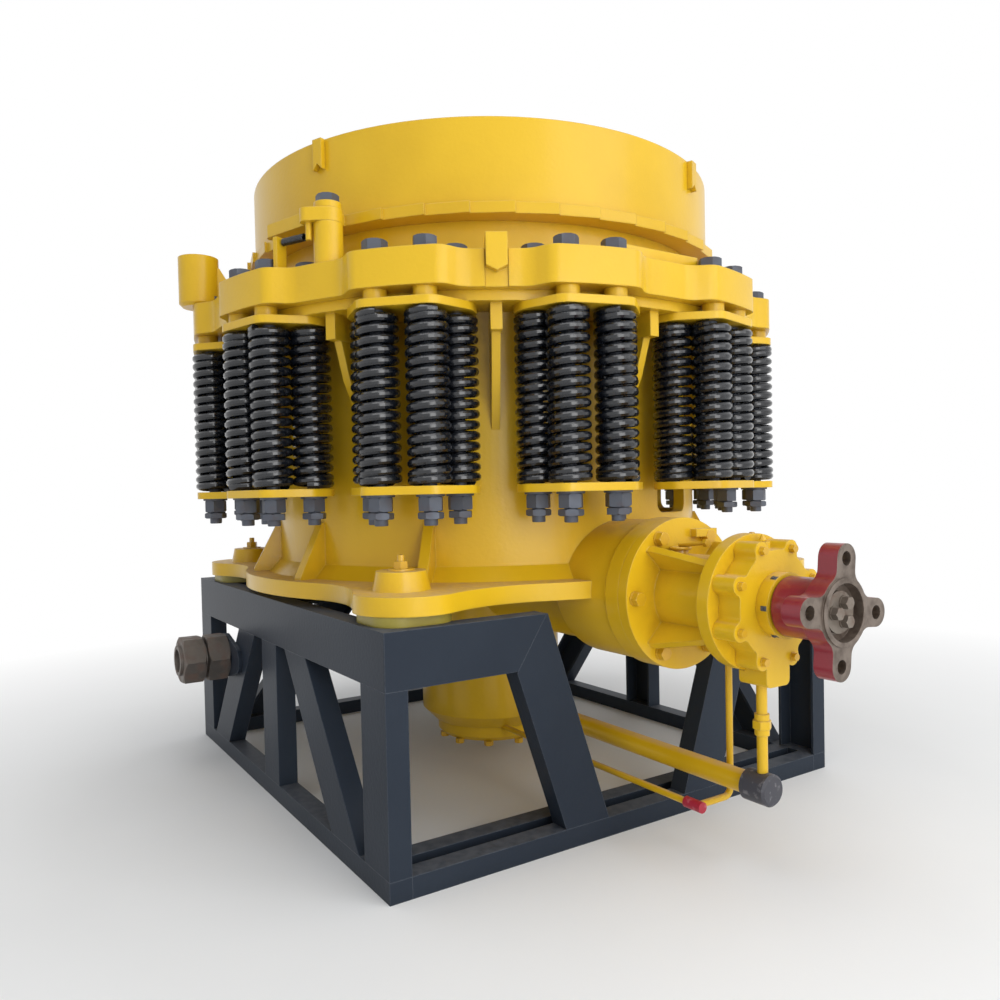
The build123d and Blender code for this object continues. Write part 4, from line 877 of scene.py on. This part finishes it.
@dataclass
class Drive:
    """Bolts of the countershaft housing, its cover, the seal retainer and the coupling's end plate."""

    machine: Machine
    shop: Workshop
    washer_share: float = 0.62
    washer_height: float = 0.12
    head_height: float = 0.6
    flange_thickness: float = 0.028
    flange_circle: float = 0.146
    flange_bolts: int = 6
    flange_across: float = 0.027
    cover_circle: float = 0.119
    cover_bolts: int = 8
    cover_across: float = 0.015
    pocket_count: int = 6
    pocket_size: tuple[float, float, float] = (0.014, 0.010, 0.0012)
    pocket_edge: float = 0.0003
    pocket_sink: float = 0.0008
    pocket_inset: float = 0.009
    screw_across: float = 0.007
    screw_height: float = 0.0028
    screw_spot: tuple[float, float, float] = (-0.002, 0.0, 0.0004)
    end_circle: float = 0.020
    end_bolts: int = 3
    end_across: float = 0.022

    def ring(self, bm: BMesh, station: float, circle: float, count: int, across: float,
             start: float = 0.5) -> None:
        """Add hexagon heads with washers round the shaft, sized by their width over the flats.

        Args:
            bm: the mesh they go into.
            station: the face they sit on, along X.
            circle: the bolt circle's radius.
            count: how many there are.
            across: a head's width over its flats.
            start: where the first is, as a share of their spacing.
        """
        part = bmesh.new()
        washer = across * self.washer_height
        Mesh.rod(part, across * self.washer_share, washer, sides=20)
        Mesh.hexagon(part, across, across * self.head_height, raised(washer))
        Mesh.add(bm, part, [self.machine.across(station, circle, (index + start) * FULL_TURN / count)
                            for index in range(count)])

    def pockets(self) -> None:
        """Make the dark bolt pockets in the seal retainer's rim, each with its small bolt."""
        part = bmesh.new()
        Mesh.box(part, self.pocket_size, HERE, self.pocket_edge)
        Mesh.hexagon(part, self.screw_across, self.screw_height, Matrix.Translation(self.screw_spot))
        low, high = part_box("seal_retainer")
        middle = Matrix.Translation((high.x - self.pocket_inset, self.machine.shaft.y, self.machine.shaft.z))
        out = raised((high.z - low.z) / 2 - self.pocket_sink)
        places = [middle @ Matrix.Rotation((index + 0.5) * FULL_TURN / self.pocket_count, 4, "X") @ out
                  for index in range(self.pocket_count)]
        self.shop.piece("retainer_pockets", Mesh.copies(part, places), BOLT)

    def build(self) -> None:
        """Make the bolts of each flange."""
        bm = bmesh.new()
        flange_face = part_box("main_frame")[1].x + self.flange_thickness
        self.ring(bm, flange_face, self.flange_circle, self.flange_bolts, self.flange_across, 0.0)
        self.ring(bm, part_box("bearing_cover")[1].x, self.cover_circle, self.cover_bolts, self.cover_across)
        self.shop.piece("housing_bolts", bm, YELLOW_BOLT)
        self.pockets()
        bm = bmesh.new()
        self.ring(bm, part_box("shaft_end_plate")[1].x, self.end_circle, self.end_bolts, self.end_across)
        self.shop.piece("end_plate_bolts", bm, TURNED, Body.DRIVE)


@dataclass
class Fittings:
    """The pawl's bolt and spring, the ring's flat bar, the oil fittings and the hub cover's bolts."""

    machine: Machine
    shop: Workshop
    post_radius: float = 0.755
    post_angle: float = math.radians(-59.3)
    head_across: float = 0.046
    head_height: float = 0.019
    head_turn: float = 0.5
    spring_lean: float = math.radians(25.2)
    wire: float = 0.0026
    wire_sides: int = 6
    wire_pitch: float = 1.06
    wire_steps: int = 16
    hook_radius: float = 0.0065
    hook_angle: float = 0.75 * FULL_TURN
    hook_steps: int = 30
    hook_sides: int = 8
    bar_radius: float = 0.752
    bar_size: tuple[float, float, float] = (0.012, 0.262, 0.034)
    bar_edge: float = 0.0015
    filler: tuple[float, float, float] = (0.648, -0.034, 0.646)
    filler_radius: float = 0.021
    cup_share: float = 0.8
    cup_height: float = 0.026
    lip_wire: float = 0.007
    lip_level: float = 0.027
    lip_steps: int = 40
    lip_sides: int = 10
    pin_foot: tuple[float, float, float] = (-0.004, 0.0, 0.033)
    pin_lean: float = math.radians(84)
    pin_radius: float = 0.0045
    pin_length: float = 0.078
    pin_nut: tuple[float, float, float] = (0.016, 0.010, 0.074)
    breather_radius: float = 0.0085
    breather_height: float = 0.011
    breather_tip: float = 0.002
    cover_circle: float = 0.148
    cover_bolts: int = 10
    cover_across: float = 0.024
    cover_head: float = 0.014

    def pawl_bolt(self) -> None:
        """Make the dark hexagon bolt on top of the pawl's post."""
        bm = bmesh.new()
        post = self.machine.upright(self.post_radius, self.post_angle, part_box("pawl_post")[1].z)
        Mesh.hexagon(bm, self.head_across, self.head_height, post @ Matrix.Rotation(self.head_turn, 4, "Z"))
        self.shop.piece("pawl_bolt", bm, BOLT)

    def pawl_spring(self) -> None:
        """Wind the pawl's extension spring, with a hook at each end, in place of its rod."""
        low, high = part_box("pawl_spring")
        radius = (high.z - low.z) / 2
        length = (high.x - low.x - 2 * radius * math.sin(self.spring_lean)) / math.cos(self.spring_lean)
        along = Matrix.Rotation(self.spring_lean, 4, "Z") @ Matrix.Rotation(QUARTER_TURN, 4, "Y")
        place = Matrix.Translation((low + high) / 2) @ along
        body = length - 2 * self.hook_radius
        turns = body / (self.wire * self.wire_pitch)
        lead = (turns * FULL_TURN, body, round(turns * self.wire_steps))
        part = Mesh.wind(radius - self.wire / 2, self.wire, self.wire_sides, [lead])
        bm = Mesh.copies(part, [place @ raised(-body / 2)])
        bend = (self.hook_angle, 0.0, self.hook_steps)
        hooks = [place @ raised(way * body / 2) @ Matrix.Rotation(QUARTER_TURN, 4, "X")
                 @ Matrix.Rotation(turn, 4, "Z") for way, turn in ((-1, math.pi), (1, 0.0))]
        Mesh.add(bm, Mesh.wind(self.hook_radius, self.wire, self.hook_sides, [bend]), hooks)
        start, end = (place @ Vector((0, 0, way * body / 2)) for way in (-1, 1))
        self.shop.piece("pawl_extension_spring", bm, SPRING,
                        stands_for=["pawl_spring"], stretch=Stretch(Body.PAWL, start, end))

    def bolt_bar(self) -> None:
        """Stand a flat bar on the ring between two spring sets, at the drive's side."""
        bm = bmesh.new()
        place = self.machine.upright(self.bar_radius, 0.0, self.machine.ring_top)
        Mesh.box(bm, self.bar_size, place, self.bar_edge)
        self.shop.piece("ring_flat_bar", bm, YELLOW)

    def oil_fittings(self) -> None:
        """Make the filler's cup with the pin across it, and the breather's point on the cover."""
        bm = bmesh.new()
        foot = Matrix.Translation(self.filler)
        Mesh.rod(bm, self.filler_radius * self.cup_share, self.cup_height, foot, edge=STUD_EDGE)
        lead = (FULL_TURN, 0.0, self.lip_steps)
        lip = Mesh.wind(self.filler_radius, self.lip_wire, self.lip_sides, [lead], self.lip_level, True)
        Mesh.add(bm, lip, [foot])
        pin = foot @ Matrix.Translation(self.pin_foot) @ Matrix.Rotation(self.pin_lean, 4, "Y")
        Mesh.rod(bm, self.pin_radius, self.pin_length, pin, sides=14, edge=FINE_EDGE)
        across, height, level = self.pin_nut
        Mesh.hexagon(bm, across, height, pin @ raised(level), True)
        low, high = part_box("bearing_cover")
        breather = Matrix.Translation(((low.x + high.x) / 2, self.machine.shaft.y, high.z))
        Mesh.rod(bm, self.breather_radius, self.breather_height, breather, sides=20, tip=self.breather_tip)
        self.shop.piece("oil_fittings", bm, YELLOW_BOLT)

    def hub_bolts(self) -> None:
        """Make the bolts under the hub's bottom cover."""
        part = bmesh.new()
        Mesh.hexagon(part, self.cover_across, self.cover_head, DOWN)
        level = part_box("hub_bottom_cover")[0].z
        places = [self.machine.upright(self.cover_circle, index * FULL_TURN / self.cover_bolts, level)
                  for index in range(self.cover_bolts)]
        self.shop.piece("hub_cover_bolts", Mesh.copies(part, places), YELLOW_BOLT)

    def build(self) -> None:
        """Make all of the fittings."""
        self.pawl_bolt()
        self.pawl_spring()
        self.bolt_bar()
        self.oil_fittings()
        self.hub_bolts()


@dataclass(frozen=True)
class Lamp:
    """A square area lamp: its name, its place, its side and its power in watts."""

    name: str
    spot: tuple[float, float, float]
    size: float
    power: float


@dataclass
class Studio:
    """Camera, light and floor."""

    SKY: ClassVar[Span] = {"From Min": -0.7, "From Max": 0.8, "To Min": 0.28, "To Max": 0.95}
    FADE: ClassVar[Span] = {"From Min": 1.2, "From Max": 3.2}
    LAMPS: ClassVar[tuple[Lamp, ...]] = (
        Lamp("key_lamp", (4.4, 1.4, 3.4), 3.4, 62),
        Lamp("top_lamp", (0.6, -0.8, 5.2), 3.0, 45),
        Lamp("front_lamp", (3.8, -0.9, 1.2), 1.8, 36),
    )

    focal_pixels: float = 824.7
    frame_pixels: float = 1000
    sensor: float = 36.0
    place: tuple[float, float, float] = (1.951, -1.359, 0.802)
    heading: float = math.radians(56.78)
    pitch: float = math.radians(-1.49)
    roll: float = math.radians(-1.20)
    shift: tuple[float, float] = (-0.0012, 0.0147)
    target: tuple[float, float, float] = (-0.1, 0.0, 0.9)
    bright_side: tuple[float, float, float] = (0.78, 0.40, 0.48)
    sky_colour: str = "#F2F4F7"
    floor_radius: float = 9.0
    floor_colours: tuple[str, str] = ("#EFEFEE", "#EBEBEA")
    floor_roughness: float = 0.7
    mottle_size: float = 1 / 3

    def camera(self) -> None:
        """Set the camera at the viewing angle of the photograph."""
        data = bpy.data.cameras.new("camera")
        data.sensor_width = self.sensor
        data.lens = self.focal_pixels / self.frame_pixels * self.sensor
        data.shift_x, data.shift_y = self.shift
        camera = bpy.data.objects.new("camera", data)
        turn = (Matrix.Rotation(self.heading, 4, "Z") @ Matrix.Rotation(QUARTER_TURN + self.pitch, 4, "X")
                @ Matrix.Rotation(self.roll, 4, "Z"))
        camera.matrix_world = Matrix.Translation(self.place) @ turn
        bpy.context.scene.collection.objects.link(camera)
        bpy.context.scene.camera = camera

    def hang(self, lamp: Lamp) -> None:
        """Hang a lamp that faces the machine."""
        data = bpy.data.lights.new(lamp.name, "AREA")
        data.shape = "SQUARE"
        data.size = lamp.size
        data.energy = lamp.power
        made = bpy.data.objects.new(lamp.name, data)
        aim = (Vector(self.target) - Vector(lamp.spot)).to_track_quat("-Z", "Y").to_matrix().to_4x4()
        made.matrix_world = Matrix.Translation(lamp.spot) @ aim
        bpy.context.scene.collection.objects.link(made)

    def world(self) -> None:
        """Surround the machine with a soft sky, paler at the drive's side, that the camera sees as white."""
        world = bpy.data.worlds.new("studio")
        bpy.context.scene.world = world
        world.use_nodes = True
        tree = world.node_tree
        tree.nodes.clear()
        node = partial(add_node, tree)
        way = node("TexCoord").outputs["Generated"]
        toward = node("VectorMath", {0: way, 1: self.bright_side}, operation="DOT_PRODUCT")
        strength = node("MapRange", {"Value": toward, **self.SKY}, interpolation_type="SMOOTHSTEP")
        soft = node("Background", {"Color": linear(self.sky_colour), "Strength": strength})
        white = node("Background", {"Color": (1, 1, 1, 1), "Strength": 1.0})
        node("OutputWorld", {"Surface": node("MixShader", {0: seen_rays(tree), 1: soft, 2: white})})

    def floor(self) -> None:
        """Lay the plain pale floor, which fades to white around the machine."""
        bm = bmesh.new()
        bmesh.ops.create_circle(bm, cap_ends=True, radius=self.floor_radius, segments=96)
        mesh = bpy.data.meshes.new("floor")
        bm.to_mesh(mesh)
        bm.free()
        made = bpy.data.materials.new("pale_floor")
        made.use_nodes = True
        tree = made.node_tree
        node = partial(add_node, tree)
        shader = tree.nodes["Principled BSDF"]
        place = node("TexCoord").outputs["Object"]
        mottle = node("TexNoise", {"Vector": place, "Scale": 1 / self.mottle_size, "Detail": 4.0})
        light, dark = (linear(code) for code in self.floor_colours)
        colour = node("Mix", {SHARE: mottle, UNDER: light, OVER: dark}, data_type="RGBA")
        set_inputs(tree, shader, {"Base Color": colour, "Roughness": self.floor_roughness})
        reach = node("VectorMath", {0: place}, operation="LENGTH")
        far = node("MapRange", {"Value": reach, **self.FADE})
        share = node("Math", {0: far, 1: seen_rays(tree)}, operation="MULTIPLY")
        glow = node("Emission", {"Color": (1, 1, 1, 1), "Strength": 1.0})
        faded = node("MixShader", {0: share, 1: shader, 2: glow})
        set_inputs(tree, tree.nodes["Material Output"], {"Surface": faded})
        mesh.materials.append(made)
        floor = bpy.data.objects.new("floor", mesh)
        bpy.context.scene.collection.objects.link(floor)

    def build(self) -> None:
        """Set up the camera, the lamps, the world and the floor."""
        bpy.context.scene.view_settings.view_transform = "Standard"
        self.camera()
        self.world()
        self.floor()
        for lamp in self.LAMPS:
            self.hang(lamp)


# Springs are shown wound, so their solids get no skin
WOUND = ("springs_1", "springs_2", "springs_3", "pawl_spring")
# The solids that each finish goes on; the stand's enamel goes on all the rest
WORN_BY: dict[Finish, tuple[str, ...]] = {
    YELLOW: ("main_frame", "centre_hub", "hub_bottom_cover", "lower_spring_plates", "upper_spring_plates",
             "adjustment_ring", "ring_key", "bowl", "cap_drum", "cap_hooks", "feed_hopper", "pawl_post",
             "pawl", "spring_anchor", "ram_post", "drive_housing", "bearing_cover", "seal_retainer",
             "drain_pipe", "sump_drop_pipe", "vent_pipe", "thin_pipe"),
    SHIM: ("corner_shims",),
    WEAR: ("bowl_liner", "mantle", "crushing_head", "feed_plate"),
    TURNED: ("drive_shaft", "shaft_end_plate"),
    RED: ("coupling",),
    CAP_PLASTIC: ("drain_fitting",),
    RED_CAP: ("pipe_tee",),
    SCALE: ("side_stub",),
    SPRING: WOUND,
}


def dress_solids(shop: Workshop) -> None:
    """Show each solid as a smooth-shaded skin in its finish.

    Args:
        shop: the workshop that makes the skins.
    """
    finishes = {node: finish for finish, nodes in WORN_BY.items() for node in nodes}
    members = frame["record"]["behaviour"]["bodies"]
    bodies = {node: body for body, nodes in members.items() for node in nodes}
    for node in sorted(frame["nodes"]):
        finish = finishes.get(node, STAND)
        materials = frame["nodes"][node].data.materials
        materials.clear()
        materials.append(shop.material(finish))
        if node not in WOUND:
            shop.skin(node, finish, Body(bodies[node]))


def main() -> None:
    """Build the machine's dressed pieces and the studio round them."""
    logging.basicConfig(level=logging.INFO, format="%(message)s", stream=sys.stdout)
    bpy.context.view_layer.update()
    shop = Workshop()
    machine = Machine()
    machine.measure()
    dress_solids(shop)
    SpringSets(machine, shop).build()
    Foundation(machine, shop).build()
    Drive(machine, shop).build()
    Fittings(machine, shop).build()
    Studio().build()


if __name__ == "__main__":
    main()
